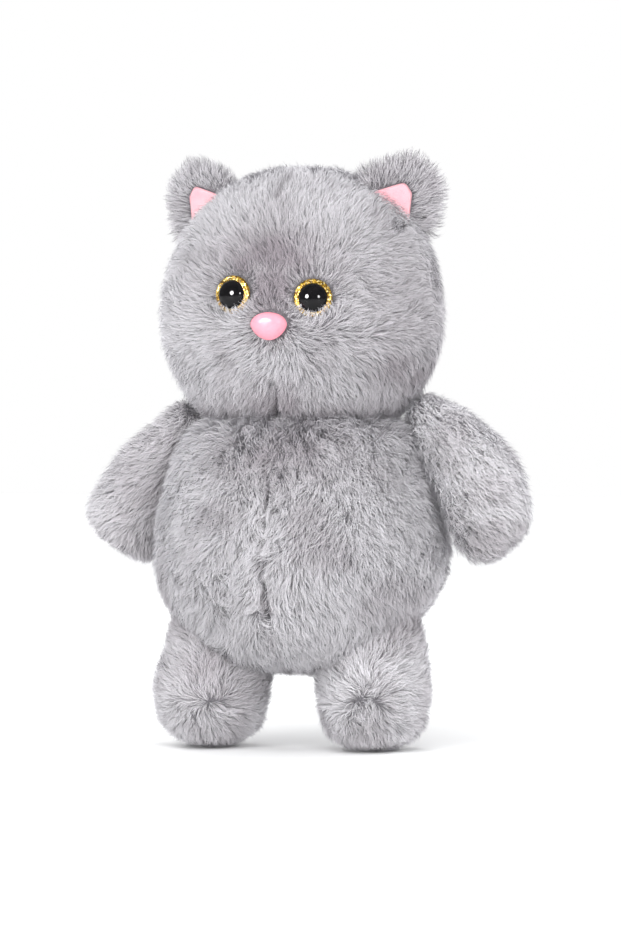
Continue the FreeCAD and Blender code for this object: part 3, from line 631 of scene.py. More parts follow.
def blades(name, body, groups):
    total = sum(len(g[0]) for g in groups)
    cells = math.ceil(math.sqrt(total))
    v, nv, along, each, tone_and_painted_shade, tri, uv = [], [], [], [], [], [], []
    base = done = 0
    for pts, nrm, al, pattern, spot, ea, sh in groups:
        count, k = len(pts), len(al)
        v.append(pts.reshape(-1, 3))
        nv.append(nrm.reshape(-1, 3))
        along.append(np.tile(al, count))
        each.append(np.repeat(ea, k))
        tone_and_painted_shade.append(np.repeat(sh, k))
        tri.append((base + np.arange(count)[:, None] * k + pattern[None, :]).ravel())
        # one small cell of the texture square for each hair
        at = np.arange(done, done + count)
        corner = np.stack([at % cells, at // cells], axis=1)[:, None, :]
        uv.append(((corner + spot[None]) / cells).reshape(-1, 2))
        base += count * k
        done += count
    v, nv, along, each, tone_and_painted_shade, tri, uv = (np.concatenate(x) for x in (v, nv, along, each, tone_and_painted_shade, tri, uv))
    me = bpy.data.meshes.new(name)
    me.vertices.add(len(v))
    me.vertices.foreach_set("co", v.astype(np.float32).ravel())
    me.loops.add(len(tri))
    me.loops.foreach_set("vertex_index", tri.astype(np.int32))
    me.polygons.add(len(tri) // 3)
    me.polygons.foreach_set("loop_start", np.arange(0, len(tri), 3, dtype=np.int32))
    me.polygons.foreach_set("use_smooth", np.ones(len(tri) // 3, dtype=bool))
    me.update(calc_edges=True)
    for key, val in (("pile_along", along), ("pile_each", each), ("pile_tone_and_painted_shade", tone_and_painted_shade)):
        a = me.attributes.new(key, "FLOAT", "POINT")
        a.data.foreach_set("value", val.astype(np.float32))
    layer = me.uv_layers.new(name="OFBake")
    layer.data.foreach_set("uv", uv[tri].astype(np.float32).ravel())
    me.normals_split_custom_set_from_vertices(nv.astype(np.float32).tolist())
    # arms and legs take the brighter copies of the pile: painted light
    if name.startswith("arm_"):
        me.materials.append(arm_pile_painted_light_mat)
    elif name.startswith("leg_"):
        me.materials.append(leg_pile_painted_light_mat)
    else:
        me.materials.append(pile_mat)
    o = bpy.data.objects.new(name, me)
    o.location.x = DX * MM
    scene.collection.objects.link(o)
    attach(o, body)
    return o


DENSE = 1.0
DOWN = np.array([0.0, 0.0, -1.0])
INSET = 7.0

# ----------------------------------------------------------------------- head
EYES = {
    "left": (Vector((22.8, -59.5 + DY, 246.3)) * MM, 12.0),
    "right": (Vector((-22.8, -59.5 + DY, 248.6)) * MM, -12.0),
}
NOSE = np.array([0.0, -65.2 + DY, 232.5]) * MM


def out_axis(turn):
    return np.array([math.sin(math.radians(turn)), -math.cos(math.radians(turn)), 0.04])


def seam_groove(v, n, at, depth, wide):
    """Pulls the cloth in along a line; at is the distance of each point from it, in mm."""
    return v - n * (depth * np.exp(-((at / wide) ** 2)))[:, None] * MM


hv, hf = form(HEAD, 64, 96, INSET)
hv[:, 1] += DY * MM
hn = normals_of(hv, hf)
head = mesh_object("head_cloth", hv, hf, backing_mat)
hold = np.zeros(len(hv))
mm = hv / MM
front = mm[:, 1] < 8
hold = np.maximum(hold, np.exp(-((mm[:, 0] / 3.0) ** 2)) * ((mm[:, 2] < 232) & front) * 0.9)
hold = np.maximum(hold, smooth(-mm[:, 2], -188, -182))
hold = np.maximum(hold, np.exp(-(((mm[:, 1] - 8) / 3.0) ** 2)) * 0.6)
for side in ("left", "right"):
    c = np.array(EYES[side][0]) / MM
    d = np.linalg.norm(mm - c, axis=1)
    hold = np.maximum(hold, 1 - smooth(d, 10, 18))
stuff(head, np.clip(hold, 0, 1), 3.0, 0.0022)
hv = points_of(head)
hn = normals_of(hv, hf)
mm = hv / MM
# dents of the eyes and the nose, and the chin seam
for side in ("left", "right"):
    c, turn = EYES[side]
    ax = out_axis(turn)
    rel = mm - np.array(c) / MM
    h = rel @ ax
    rad = np.linalg.norm(rel - h[:, None] * ax, axis=1)
    want = -2.2 - h
    pull = (1 - smooth(rad, 9.5, 17.0)) * (h > -30) * (mm[:, 1] < 0)
    mm = mm + ax * (np.minimum(want, 0) * pull)[:, None]
rel = mm - NOSE / MM
rad = np.hypot(rel[:, 0], rel[:, 2])
pull = (1 - smooth(rad, 7, 14)) * (mm[:, 1] < 0)
mm[:, 1] += np.where(mm[:, 1] < NOSE[1] / MM + 0.6, (NOSE[1] / MM + 0.6 - mm[:, 1]) * pull, 0)
chin = smooth(-mm[:, 2], -225, -190) * (mm[:, 1] < 0)
mm = mm - hn * (1.5 * np.exp(-((mm[:, 0] / 2.4) ** 2)) * chin)[:, None]
move_points(head, mm * MM)
hv = points_of(head)
hn = normals_of(hv, hf)
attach(head, "head")
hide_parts("face_panel_left", "face_panel_right", "head_back_panel", "head_stuffing")

p, n = roots(hv, hf, hn, 3.9 * DENSE)
q = p / MM
# no hair on the hidden neck disc
keep = ~((q[:, 2] < 183) & (np.hypot(q[:, 0] / 38, (q[:, 1] + 2) / 32) < 1))
p, n, q = p[keep], n[keep], q[keep]
face = unit(q - np.array([0, -30, 240]))
away = q - np.array([0, -64, 236])
away[:, 1] *= 0.25
front_w = smooth(-q[:, 1], -5, 30)
comb = unit(away) * front_w[:, None] + DOWN * (1 - front_w[:, None]) * 0.9
# below the eyes the hair runs down and outwards, on the brow upwards
low = smooth(-q[:, 2], -240, -195)
comb = comb + DOWN * (0.55 * low + 0.1)[:, None]
swirl = noise3(q, 26.0, 3) * 0.7 + noise3(q, 11.0, 5) * 0.55 + noise3(q, 5.0, 6) * 0.5
comb = comb + swirl
length = np.full(len(q), 9.7)
lift = np.full(len(q), 0.98)
length += 3.0 * smooth(-q[:, 2], -194, -184)
tone_and_painted_shade = 0.30 * smooth(noise(q, 24.0, 21), 0.55, 0.85)
# painted shade: the head darker on its +x side, strongest from about eye level down
tone_and_painted_shade = np.maximum(tone_and_painted_shade, 0.34 * smooth(q[:, 0], 12, 62) * smooth(-q[:, 2], -290, -250))
# brow patch brushed the other way: darker and warmer
brow = np.exp(-(((q[:, 0] + 2) / 29) ** 2 + ((q[:, 2] - 267) / 14) ** 2)) * (q[:, 1] < 0)
brow = np.maximum(brow, np.exp(-((q[:, 0] / 14) ** 2 + ((q[:, 2] - 251) / 12) ** 2)) * (q[:, 1] < 0))
tone_and_painted_shade = np.maximum(tone_and_painted_shade, np.clip(brow * 1.25 * (0.55 + 0.75 * noise(q, 9.0, 31)), 0, 1))
# painted shade on the +x cheek
cheek_painted_shade = np.exp(-(((q[:, 0] - 62) / 19) ** 2 + ((q[:, 2] - 209) / 13) ** 2)) * (q[:, 1] < 10)
tone_and_painted_shade = np.maximum(tone_and_painted_shade, 0.8 * cheek_painted_shade * (0.4 + noise(q, 7.0, 33)))
# painted shade under the head, round the chin and the neck
under = smooth(-q[:, 2], -204, -184) * (0.55 + 0.9 * noise(q, 8.0, 35))
tone_and_painted_shade = np.maximum(tone_and_painted_shade, np.clip(0.7 * under, 0, 1))
length *= 1 - 0.35 * brow
for side in ("left", "right"):
    c, turn = EYES[side]
    rel = q - np.array(c) / MM
    ax = out_axis(turn)
    rad = np.linalg.norm(rel - (rel @ ax)[:, None] * ax, axis=1)
    near = (q[:, 1] < -20)
    bare = near & (rad < 10.6)
    length = np.where(near & (rad < 16), length * (0.42 + 0.58 * smooth(rad, 10, 16)), length)
    low_lid = near & (rad < 15) & (rel[:, 2] < -5)
    length = np.where(low_lid, 7.6, length)
    round_eye = unit(rel - (rel @ ax)[:, None] * ax) * np.where(rel[:, 2] < -5, -1.0, 1.6)[:, None]
    w = (near * (1 - smooth(rad, 11, 20)))[:, None]
    comb = comb * (1 - w) + round_eye * w
    lift = np.where(near & (rad < 15), 0.85, lift)
    length = np.where(bare, 0, length)
rel = q - NOSE / MM
rad = np.hypot(rel[:, 0] / 9.6, (rel[:, 2] - 0.6) / 7.2)
near = q[:, 1] < -40
length = np.where(near & (rad < 0.95), 0, length)
length = np.where(near & (rad < 1.7), length * (0.45 + 0.55 * smooth(rad, 1.0, 1.7)), length)
w = (near * (1 - smooth(rad, 1.2, 2.2)))[:, None]
comb = comb * (1 - w) + unit(rel * np.array([1, 0, 1])) * 1.5 * w
# chin seam: the hair parts and is short
part = np.exp(-((q[:, 0] / 3.0) ** 2)) * smooth(-q[:, 2], -220, -196) * (q[:, 1] < 0)
comb = comb + np.stack([np.sign(q[:, 0]) * 0.7 * part, 0 * part, 0 * part], axis=1)
length *= 1 - 0.35 * part
tone_and_painted_shade = np.maximum(tone_and_painted_shade, 0.7 * part * smooth(-q[:, 2], -210, -194))
# dart on the forehead
d0, d1 = np.array([0.8, 310.4]), np.array([-2.6, 297.0])
ab = d1 - d0
tt = np.clip(((q[:, [0, 2]] - d0) @ ab) / (ab @ ab), 0, 1)
dist = np.linalg.norm(q[:, [0, 2]] - d0 - tt[:, None] * ab, axis=1)
# painted shade: a darker mottled patch under the chin
chin_painted_shade = np.exp(-(((q[:, 0] - 3) / 24) ** 2 + ((q[:, 2] - 193) / 13) ** 2)) * (q[:, 1] < 0)
tone_and_painted_shade = np.maximum(tone_and_painted_shade, np.clip(0.75 * chin_painted_shade * (0.4 + 0.9 * noise(q, 8.0, 37)), 0, 1))
dart = np.exp(-((dist / 1.7) ** 2)) * (q[:, 1] < 0)
length *= 1 - 0.66 * dart
tone_and_painted_shade = np.maximum(tone_and_painted_shade, 1.0 * dart)
ok = length > 1
p, n, q, comb, length, lift, tone_and_painted_shade = p[ok], n[ok], q[ok], comb[ok], length[ok], lift[ok], tone_and_painted_shade[ok]
back = q[:, 1] > 8
for name, sel in (
    ("face_pile_left", ~back & (q[:, 0] >= 0)),
    ("face_pile_right", ~back & (q[:, 0] < 0)),
    ("head_back_pile", back),
):
    grow(name, "head", p[sel], n[sel], comb[sel], length[sel] * MM, lift[sel], tone_and_painted_shade[sel])

# ----------------------------------------------------------------------- ears
EAR = [(-26.0, 300.0), (-15.5, 318.6), (14.5, 328.6), (33.5, 312.5), (26.5, 281.0), (2.0, 277.0)]
EAR_R = [3.0, 5.0, 10.0, 12.0, 4.0, 4.0]
LINING = [(-13.5, 308.0), (9.6, 315.0), (13.6, 309.0), (11.2, 284.0), (1.0, 285.0)]
LINING_R = [2.0, 3.0, 3.0, 2.0, 2.0]


def rounded(points, radii, n=7):
    out = []
    k = len(points)
    for i in range(k):
        pt, a, b = (np.array(points[j % k], float) for j in (i, i - 1, i + 1))
        u, w = unit(a - pt), unit(b - pt)
        half = math.acos(max(-1, min(1, float(u @ w)))) / 2
        t = radii[i] / math.tan(half)
        c = pt + unit(u + w) * (radii[i] / math.sin(half))
        s, e = pt + u * t - c, pt + w * t - c
        for f in np.linspace(0, 1, n):
            out.append(c + unit(s * (1 - f) + e * f) * radii[i])
    return np.array(out)


def resampled(outline, n):
    closed = np.vstack([outline, outline[:1]])
    u = np.concatenate([[0], np.cumsum(np.linalg.norm(np.diff(closed, axis=0), axis=1))])
    at = np.linspace(0, u[-1], n, endpoint=False)
    return np.stack([np.interp(at, u, closed[:, k]) for k in (0, 1)], axis=1)


def pad_form(outline, rings, rise, drop, back_rise):
    """A cushion-like pad over an outline: front and back both crowned. Rows run from the middle outwards."""
    c = outline.mean(0)
    rows = []
    for f in np.linspace(0, 1, rings)[1:]:
        h = (1 - f**2.4) ** 0.5 if f < 1 else 0
        rows.append(np.column_stack([c + (outline - c) * f, np.full(len(outline), rise * h)]))
    for f in np.linspace(1, 0, rings)[1:-1]:
        h = (1 - f**2.4) ** 0.5
        rows.append(np.column_stack([c + (outline - c) * f, np.full(len(outline), -back_rise * h)]))
    k = len(outline)
    v = np.vstack([[[*c, rise]], *rows, [[*c, -back_rise]]])
    faces = []
    last = len(v) - 1
    for j in range(k):
        faces.append((0, 1 + j, 1 + (j + 1) % k))
        faces.append((last, last - k + (j + 1) % k, last - k + j))
    for i in range(len(rows) - 1):
        for j in range(k):
            a = 1 + i * k
            faces.append((a + j, a + k + j, a + k + (j + 1) % k, a + (j + 1) % k))
    return v, faces


for side, sign in (("left", 1), ("right", -1)):
    turn = math.radians(31.0 if sign > 0 else 27.0) * sign
    place = Matrix.Translation(Vector((50.0 if sign > 0 else -53.6, -4.0 + DY, 0.5 if sign > 0 else -0.5)) * MM) @ Matrix.Rotation(turn, 4, "Z")
    # local: q along the ear outwards, v up, h out of its front

    def ear_points(v):
        local = np.column_stack([sign * v[:, 0], -v[:, 2], v[:, 1]]) * MM
        return put(local, place)

    outline = resampled(rounded(EAR, EAR_R), 72)
    c = outline.mean(0)
    inner = c + (outline - c) * 0.83
    v, faces = pad_form(inner, 9, 2.4, 0, 4.6)
    ev = ear_points(v)
    if ((ev - ev.mean(0)) * normals_of(ev, faces)).sum() < 0:
        faces = [f[::-1] for f in faces]
    ear = mesh_object("ear_cloth_" + side, ev, faces, backing_mat)
    d = np.linalg.norm(v[:, :2] - c, axis=1)
    stuff(ear, np.clip((np.abs(v[:, 2]) < 0.4) * 1.0 + (v[:, 1] < 292) * 1.0, 0, 1), 2.0, 0.0012, 12)
    ev = points_of(ear)
    en = normals_of(ev, faces)
    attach(ear, "head")
    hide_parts("ear_back_" + side)
    # lining: a thin velour pad in the front
    lin = resampled(rounded(LINING, LINING_R), 60) + np.array([-1.6, -4.0] if sign > 0 else [-1.4, -2.8])
    lv, lf = pad_form(lin, 10, 0.9, 0, 1.6)
    lv[:, 2] += 4.3
    # the velour dips a little towards its middle
    lc = lin.mean(0)
    rr = np.linalg.norm(lv[:, :2] - lc, axis=1) / 14
    lv[:, 2] -= 1.3 * np.clip(1 - rr**2, 0, 1)
    if ((ear_points(lv) - ear_points(lv).mean(0)) * normals_of(ear_points(lv), lf)).sum() < 0:
        lf = [f[::-1] for f in lf]
    pink = mesh_object("ear_velour_" + side, ear_points(lv), lf, velour_mat)
    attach(pink, "head")
    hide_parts("ear_lining_" + side)
    # pile on the back and the rim
    p, n = roots(ev, faces, en, 3.8 * DENSE)
    back_to = np.array(place.inverted().to_3x3())
    loc = put(p, place.inverted()) / MM
    qv = np.column_stack([loc[:, 0] * sign, loc[:, 2]])
    hh = -loc[:, 1]
    # inside the lining's outline on the front there is no pile
    def inside(pts, poly):
        x, y = pts[:, 0], pts[:, 1]
        hit = np.zeros(len(pts), bool)
        j = len(poly) - 1
        for i in range(len(poly)):
            xi, yi = poly[i]
            xj, yj = poly[j]
            cross = ((yi > y) != (yj > y)) & (x < (xj - xi) * (y - yi) / (yj - yi + 1e-12) + xi)
            hit ^= cross
            j = i
        return hit

    bare = inside(qv, lin) & (hh > 0)
    hidden = (p[:, 2] / MM < 280)
    ok = ~bare & ~hidden
    p, n, qv, hh = p[ok], n[ok], qv[ok], hh[ok]
    lin_c = lin.mean(0)
    away = unit(qv - lin_c)
    up_way = np.column_stack([away[:, 0] * 0.8 + 0.1, away[:, 1] * 0.8 + 0.25])
    world = np.column_stack([sign * up_way[:, 0], 0 * up_way[:, 0], up_way[:, 1]]) @ np.array(place.to_3x3()).T
    qq = p / MM
    comb = world + noise3(qq, 12.0, 41) * 0.5
    dist = np.array([np.min(np.linalg.norm(lin - x, axis=1)) for x in qv])
    length = np.full(len(p), 8.6)
    length = np.where((hh > 0) & (dist < 4), 5.2 + 3.2 * dist / 4, length)
    rim = np.clip((n * unit(world)).sum(1), 0, 1)
    lift = np.where(hh > 0, 0.8, 0.75) + 2.4 * rim**2
    tone_and_painted_shade = 0.04 + 0.3 * noise(qq, 10.0, 43) + (0.18 if sign > 0 else 0.0)
    lowdark = smooth(-qq[:, 2], -292, -282)
    tone_and_painted_shade = np.clip(tone_and_painted_shade + 0.2 * lowdark, 0, 1)
    grow("ear_pile_" + side, "head", p, n, comb, length * MM, lift, tone_and_painted_shade)

# ---------------------------------------------------------------------- trunk
HIP = {1: np.array([46.2, -14.0 + DY, 62.0]), -1: np.array([-46.2, -14.0 + DY, 62.0])}
tv, tf = form(TRUNK, 64, 104, INSET)
tv[:, 1] += DY * MM
trunk = mesh_object("trunk_cloth", tv, tf, backing_mat)
mm = tv / MM
hold = np.exp(-((mm[:, 0] / 3.0) ** 2)) * (mm[:, 1] < 8) * 0.9
hold = np.maximum(hold, np.exp(-(((mm[:, 1] - 8) / 3.0) ** 2)) * 0.7)
hold = np.maximum(hold, smooth(mm[:, 2], 172, 180))
hold = np.maximum(hold, smooth(-mm[:, 2], -52, -46))
stuff(trunk, np.clip(hold, 0, 1), 3.0, 0.0024)
tv = points_of(trunk)
tn = normals_of(tv, tf)
mm = tv / MM
# centre seam down the front, side seams, and slow lumps of the filling
mm = mm - tn * (1.3 * np.exp(-((mm[:, 0] / 2.2) ** 2)) * (mm[:, 1] < 0))[:, None]
mm = mm - tn * (1.6 * np.exp(-(((mm[:, 1] - 8) / 3.0) ** 2)))[:, None]
mm = mm + tn * ((noise(mm, 30.0, 51) - 0.5) * 3.4 + (noise(mm, 14.0, 53) - 0.5) * 1.4)[:, None]
move_points(trunk, mm * MM)
tv = points_of(trunk)
tn = normals_of(tv, tf)
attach(trunk, "torso")
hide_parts("belly_panel_left", "belly_panel_right", "back_panel_left", "back_panel_right", "torso_stuffing")

p, n = roots(tv, tf, tn, 3.8 * DENSE)
q = p / MM
inside_leg = np.zeros(len(q), bool)
for s in (1, -1):
    rel = q - HIP[s]
    inside_leg |= (np.linalg.norm(rel / np.array([27.0, 25.0, 25.0]), axis=1) < 1)
    inside_leg |= (np.hypot(rel[:, 0] / 26.0, rel[:, 1] / 26.0) < 1) & (rel[:, 2] < 0)
neck = (q[:, 2] > 174.0) & (np.hypot(q[:, 0] / 42, (q[:, 1] + 3) / 38) < 1)
ok = ~inside_leg & ~neck
p, n, q = p[ok], n[ok], q[ok]
comb = np.tile(DOWN, (len(q), 1)) * 0.9
side_out = np.column_stack([q[:, 0] / 60, 0 * q[:, 0], 0 * q[:, 0]])
comb = comb + side_out * 0.5
comb = comb + noise3(q, 30.0, 61) * (0.62 - 0.5 * smooth(q[:, 2], 142, 160))[:, None] + noise3(q, 12.0, 63) * 0.5 + noise3(q, 5.0, 64) * 0.5
length = np.full(len(q), 9.9)
lift = np.full(len(q), 0.96)
length += 3.4 * smooth(q[:, 2], 162, 173)
tone_and_painted_shade = 0.34 * smooth(noise(q, 22.0, 65), 0.52, 0.85)
chest = np.exp(-(((q[:, 0] - 6) / 34) ** 2 + ((q[:, 2] - 160) / 15) ** 2)) * (q[:, 1] < 0)
tone_and_painted_shade = np.maximum(tone_and_painted_shade, np.clip(0.85 * chest * (0.35 + 0.95 * noise(q, 9.0, 67)), 0, 1))
tone_and_painted_shade = np.maximum(tone_and_painted_shade, 0.45 * smooth(q[:, 1], 6, 14) * (q[:, 2] < 130) * 0.6)
line = np.exp(-((q[:, 0] / 1.9) ** 2)) * (q[:, 1] < 0) * smooth(q[:, 2], 48, 60)
comb = comb + np.column_stack([np.sign(q[:, 0]) * 0.4 * line, 0 * line, 0 * line])
length *= 1 - 0.4 * line * (0.4 + 0.6 * noise(q, 12.0, 69))
tone_and_painted_shade = np.maximum(tone_and_painted_shade, np.clip(line * (0.3 + 0.5 * noise(q, 14.0, 71)), 0, 1))
belly = q[:, 1] < 8
for name, sel in (
    ("belly_pile_left", belly & (q[:, 0] >= 0)),
    ("belly_pile_right", belly & (q[:, 0] < 0)),
    ("back_pile_left", ~belly & (q[:, 0] >= 0)),
    ("back_pile_right", ~belly & (q[:, 0] < 0)),
):
    grow(name, "torso", p[sel], n[sel], comb[sel], length[sel] * MM, lift[sel], tone_and_painted_shade[sel])

# ----------------------------------------------------------------------- arms
SWING = {1: 10.0, -1: -2.0}
LEAN = {1: 32.5, -1: 26.5}
SHOULDER = {1: (66.0, 187.5), -1: (-64.0, 185.0)}
for side, sign in (("left", 1), ("right", -1)):
    rows = ARM_LEFT if sign > 0 else ARM_RIGHT
    v, faces = form([(a, b, c, d * -sign, e) for a, b, c, d, e in rows], 44, 56, INSET - 0.6)
    pivot = Vector((0, -3.0, 178.0)) * MM
    lean = Matrix.Rotation(math.radians(180.0 - sign * LEAN[sign]), 4, "Y")
    stand = Matrix.Translation(Vector((SHOULDER[sign][0], -3.0, SHOULDER[sign][1])) * MM) @ lean
    swing = (
        Matrix.Translation(pivot)
        @ Matrix.Rotation(math.radians(-SWING[sign]), 4, "X")
        @ Matrix.Translation(-pivot)
    )
    whole = Matrix.Translation(Vector((0, DY, 0)) * MM) @ swing @ stand
    local = v / MM
    av = put(v, whole)
    # the inner face lies flat against the trunk
    m2 = av / MM
    arm = mesh_object("arm_cloth_" + side, av, faces, backing_mat)
    hold = np.exp(-((local[:, 1] / 2.5) ** 2)) * 0.6
    hold = np.maximum(hold, 1 - smooth(local[:, 2], 4, 14))
    stuff(arm, np.clip(hold, 0, 1), 3.0, 0.0018, 14)
    av = points_of(arm)
    # keep clear of the trunk: nothing nearer the middle than the trunk's own side
    m2 = av / MM
    zz = 178.0 - np.hypot(m2[:, 1] + 3.0 - DY, m2[:, 2] - 178.0)
    limit = np.interp(zz, [100, 116, 130, 141, 157.5, 167.5, 173, 178], [78.5, 79.5, 79.0, 76.5, 71.5, 66, 62, 57])
    push = np.maximum(limit - sign * m2[:, 0], 0)
    m2[:, 0] += sign * push * 0.92
    an = normals_of(m2 * MM, faces)
    m2 = m2 + an * ((noise(m2, 22.0, 81 + sign) - 0.5) * 2.2)[:, None]
    move_points(arm, m2 * MM)
    av = points_of(arm)
    an = normals_of(av, faces)
    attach(arm, "arm_" + side)
    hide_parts("arm_front_panel_" + side, "arm_back_panel_" + side, "arm_stuffing_" + side)
    p, n = roots(av, faces, an, 3.9 * DENSE)
    q = p / MM
    inv = whole.inverted()
    loc = put(p, inv) / MM
    axis = np.array((whole.to_3x3() @ Vector((0, 0, 1))).normalized())
    along = smooth(loc[:, 2], 40, 88)
    centre = put(np.array([[0, 0, 22.0]]) * MM, whole) / MM
    radial = unit(q - centre)
    comb = axis * (1 - along[:, None]) + radial * along[:, None]
    calm = 0.7 if sign > 0 else 1.0
    comb = comb + (noise3(q, 22.0, 83) * 0.45 + noise3(q, 10.0, 85) * 0.42 + noise3(q, 5.0, 86) * 0.45) * calm
    comb[:, 0] += 0.3 * sign
    length = np.full(len(q), 9.5 if sign < 0 else 10.4)
    lift = np.full(len(q), 0.95 if sign < 0 else 0.74)
    length = length * (0.62 + 0.38 * smooth(loc[:, 2], 0, 22))
    tone_and_painted_shade = 0.26 * smooth(noise(q, 18.0, 87 + sign), 0.5, 0.8)
    paw = smooth(loc[:, 2], 60, 84) * (q[:, 2] < 130)
    tone_and_painted_shade = np.maximum(tone_and_painted_shade, 0.42 * paw * (0.4 + 0.9 * noise(q, 8.0, 89)))
    if sign < 0:
        tone_and_painted_shade = np.maximum(tone_and_painted_shade, 0.45 * (0.5 + 0.6 * noise(q, 14.0, 91)) * smooth(q[:, 0], -120, -90))
    hidden = (sign * q[:, 0] < np.interp(q[:, 2], [100, 160, 175, 190], [79, 72, 60, 52])) & (loc[:, 2] > 12)
    p, n, q, comb, length, lift, tone_and_painted_shade = (x[~hidden] for x in (p, n, q, comb, length, lift, tone_and_painted_shade))
    grow("arm_pile_" + side, "arm_" + side, p, n, comb, length * MM, lift, tone_and_painted_shade)

# ----------------------------------------------------------------------- legs
for side, sign in (("left", 1), ("right", -1)):
    # the thigh is drawn in on its outer side
    tuck = 1.0 if sign < 0 else 0.5
    rows = [
        (a, b - tuck * 3.4 * float(smooth(a, 30, 64)), c, -sign * tuck * 3.4 * float(smooth(a, 30, 64)), e)
        for a, b, c, d, e in LEG[:-1]
    ] + [LEG[-1]]
    rows[0] = LEG[0]
    v, faces = form(rows, 44, 60, INSET - 0.6)
    v[:, 0] *= 1.03 if sign < 0 else 1.0
    v = v + np.array([sign * 46.2 - 2.0, -14.0 + DY, 0]) * MM
    v[:, 2] = np.maximum(v[:, 2] - 0.0024 * (1 - smooth(v[:, 2], 0.008, 0.028)), 0.0026)
    leg = mesh_object("leg_cloth_" + side, v, faces, backing_mat)
    mm = v / MM
    hold = np.maximum(1 - smooth(mm[:, 2], 6, 12), smooth(mm[:, 2], 62, 72))
    stuff(leg, np.clip(hold, 0, 1), 3.0, 0.0016, 14)
    v = points_of(leg)
    n0 = normals_of(v, faces)
    mm = v / MM + n0 * ((noise(v / MM, 20.0, 101 + sign) - 0.5) * 2.0)[:, None]
    move_points(leg, mm * MM)
    v = points_of(leg)
    n0 = normals_of(v, faces)
    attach(leg, "leg_" + side)
    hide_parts("leg_front_panel_" + side, "leg_back_panel_" + side, "leg_stuffing_" + side)
    p, n = roots(v, faces, n0, 3.9 * DENSE)
    q = p / MM
    ok = q[:, 2] < 76
    p, n, q = p[ok], n[ok], q[ok]
    # whorl on the front of the foot
    w0 = np.array([sign * 46.2 - 1.0, -50.0 + DY, 30.0 if sign > 0 else 22.0])
    away = q - w0
    away[:, 1] *= 0.3
    comb = unit(away) * (0.25 + 0.7 * smooth(np.linalg.norm(away, axis=1), 3, 20))[:, None] + noise3(q, 18.0, 103) * 0.75 + noise3(q, 9.0, 105) * 0.6 + noise3(q, 5.0, 106) * 0.55
    comb[:, 2] -= 0.1
    length = np.full(len(q), 9.1)
    lift = np.full(len(q), 0.90)
    lift = lift + 1.1 * np.exp(-((np.linalg.norm(away, axis=1) / 6.5) ** 2))
    # under the sole the pile is pressed flat
    sole = 1 - smooth(q[:, 2], 5, 14)
    lift = lift * (1 - 0.5 * sole)
    length = length * (1 - 0.35 * sole)
    tone_and_painted_shade = 0.30 * smooth(noise(q, 16.0, 107), 0.5, 0.8)
    # painted shade on the tops of the legs, under the overhanging belly
    top = smooth(q[:, 2], 44, 66)
    tone_and_painted_shade = np.maximum(tone_and_painted_shade, 0.5 * top)
    if sign < 0:
        # painted shade on the inner front of this leg, where the belly overhangs it
        inner = np.exp(-(((q[:, 0] + 42) / 16) ** 2 + ((q[:, 2] - 45) / 20) ** 2)) * (q[:, 1] < 0)
        tone_and_painted_shade = np.maximum(tone_and_painted_shade, 0.6 * inner * (0.5 + 0.7 * noise(q, 8.0, 109)))
    made = grow("leg_pile_" + side, "leg_" + side, p, n, comb, length * MM, lift, tone_and_painted_shade)

# ------------------------------------------------------------- eyes and nose
from mathutils import Quaternion


def turned(name, profile, steps, mat, place):
    """Turned form about local Z from (radius, height) points, in mm."""
    a = np.linspace(0, 2 * math.pi, steps, endpoint=False)
    v, faces, rows = [], [], []
    for r, h in profile:
        if r < 1e-6:
            rows.append([len(v)])
            v.append((0, 0, h))
        else:
            rows.append(list(range(len(v), len(v) + steps)))
            v += [(r * math.cos(t), r * math.sin(t), h) for t in a]
    for lo, hi in zip(rows, rows[1:]):
        for j in range(steps):
            k = (j + 1) % steps
            if len(lo) == 1:
                faces.append((lo[0], hi[k], hi[j]))
            elif len(hi) == 1:
                faces.append((lo[j], lo[k], hi[0]))
            else:
                faces.append((lo[j], lo[k], hi[k], hi[j]))
    v = put(np.array(v) * MM, place)
    return mesh_object(name, v, faces, mat)


def eye_matrix(side):
    c, turn = EYES[side]
    return (
        Matrix.Translation(c)
        @ Matrix.Rotation(math.radians(turn), 4, "Z")
        @ Matrix.Rotation(math.radians(87.5), 4, "X")
    )


for side in ("left", "right"):
    place = eye_matrix(side)
    # dome with its shank, one moulding
    dome = [(0, -16.0), (2.0, -16.0), (2.6, -15.3), (2.6, -1.0), (7.6, -1.0)]
    for t in np.linspace(0, 90, 22):
        dome.append((7.85 * math.cos(math.radians(t)), 0.2 + 4.7 * math.sin(math.radians(t))))
    dome[-1] = (0, 4.9)
    pupil = turned("eye_pupil_dome_" + side, dome, 64, pupil_mat, place)
    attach(pupil, "head")
    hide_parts("eye_pupil_" + side)
    # glitter ring: a shallow cone under clear plastic, with a rolled outer edge
    prof = [(2.7, -2.0), (9.4, -2.0), (10.1, -1.8), (10.5, -1.2), (10.5, -0.5), (10.2, 0.05)]
    prof += [(r, 0.25 + 1.0 * (10.2 - r) / 3.0) for r in np.linspace(9.8, 7.92, 10)]
    prof += [(7.89, -0.9), (2.7, -0.9)]
    ring = turned("eye_ring_" + side, prof, 120, glitter_mat, place)
    rv = points_of(ring)
    loc = put(rv, place.inverted()) / MM
    rad = np.hypot(loc[:, 0], loc[:, 1])
    face_pts = (loc[:, 2] > -0.6) & (rad > 7.97)
    ax = np.array((place.to_3x3() @ Vector((0, 0, 1))).normalized())
    rv = rv + ax * (face_pts * (rng.random(len(rv)) - 0.5) * 0.16)[:, None] * MM
    move_points(ring, rv)
    ring.data.polygons.foreach_set("use_smooth", [False] * len(ring.data.polygons))
    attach(ring, "head")
    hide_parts("eye_glitter_ring_" + side)


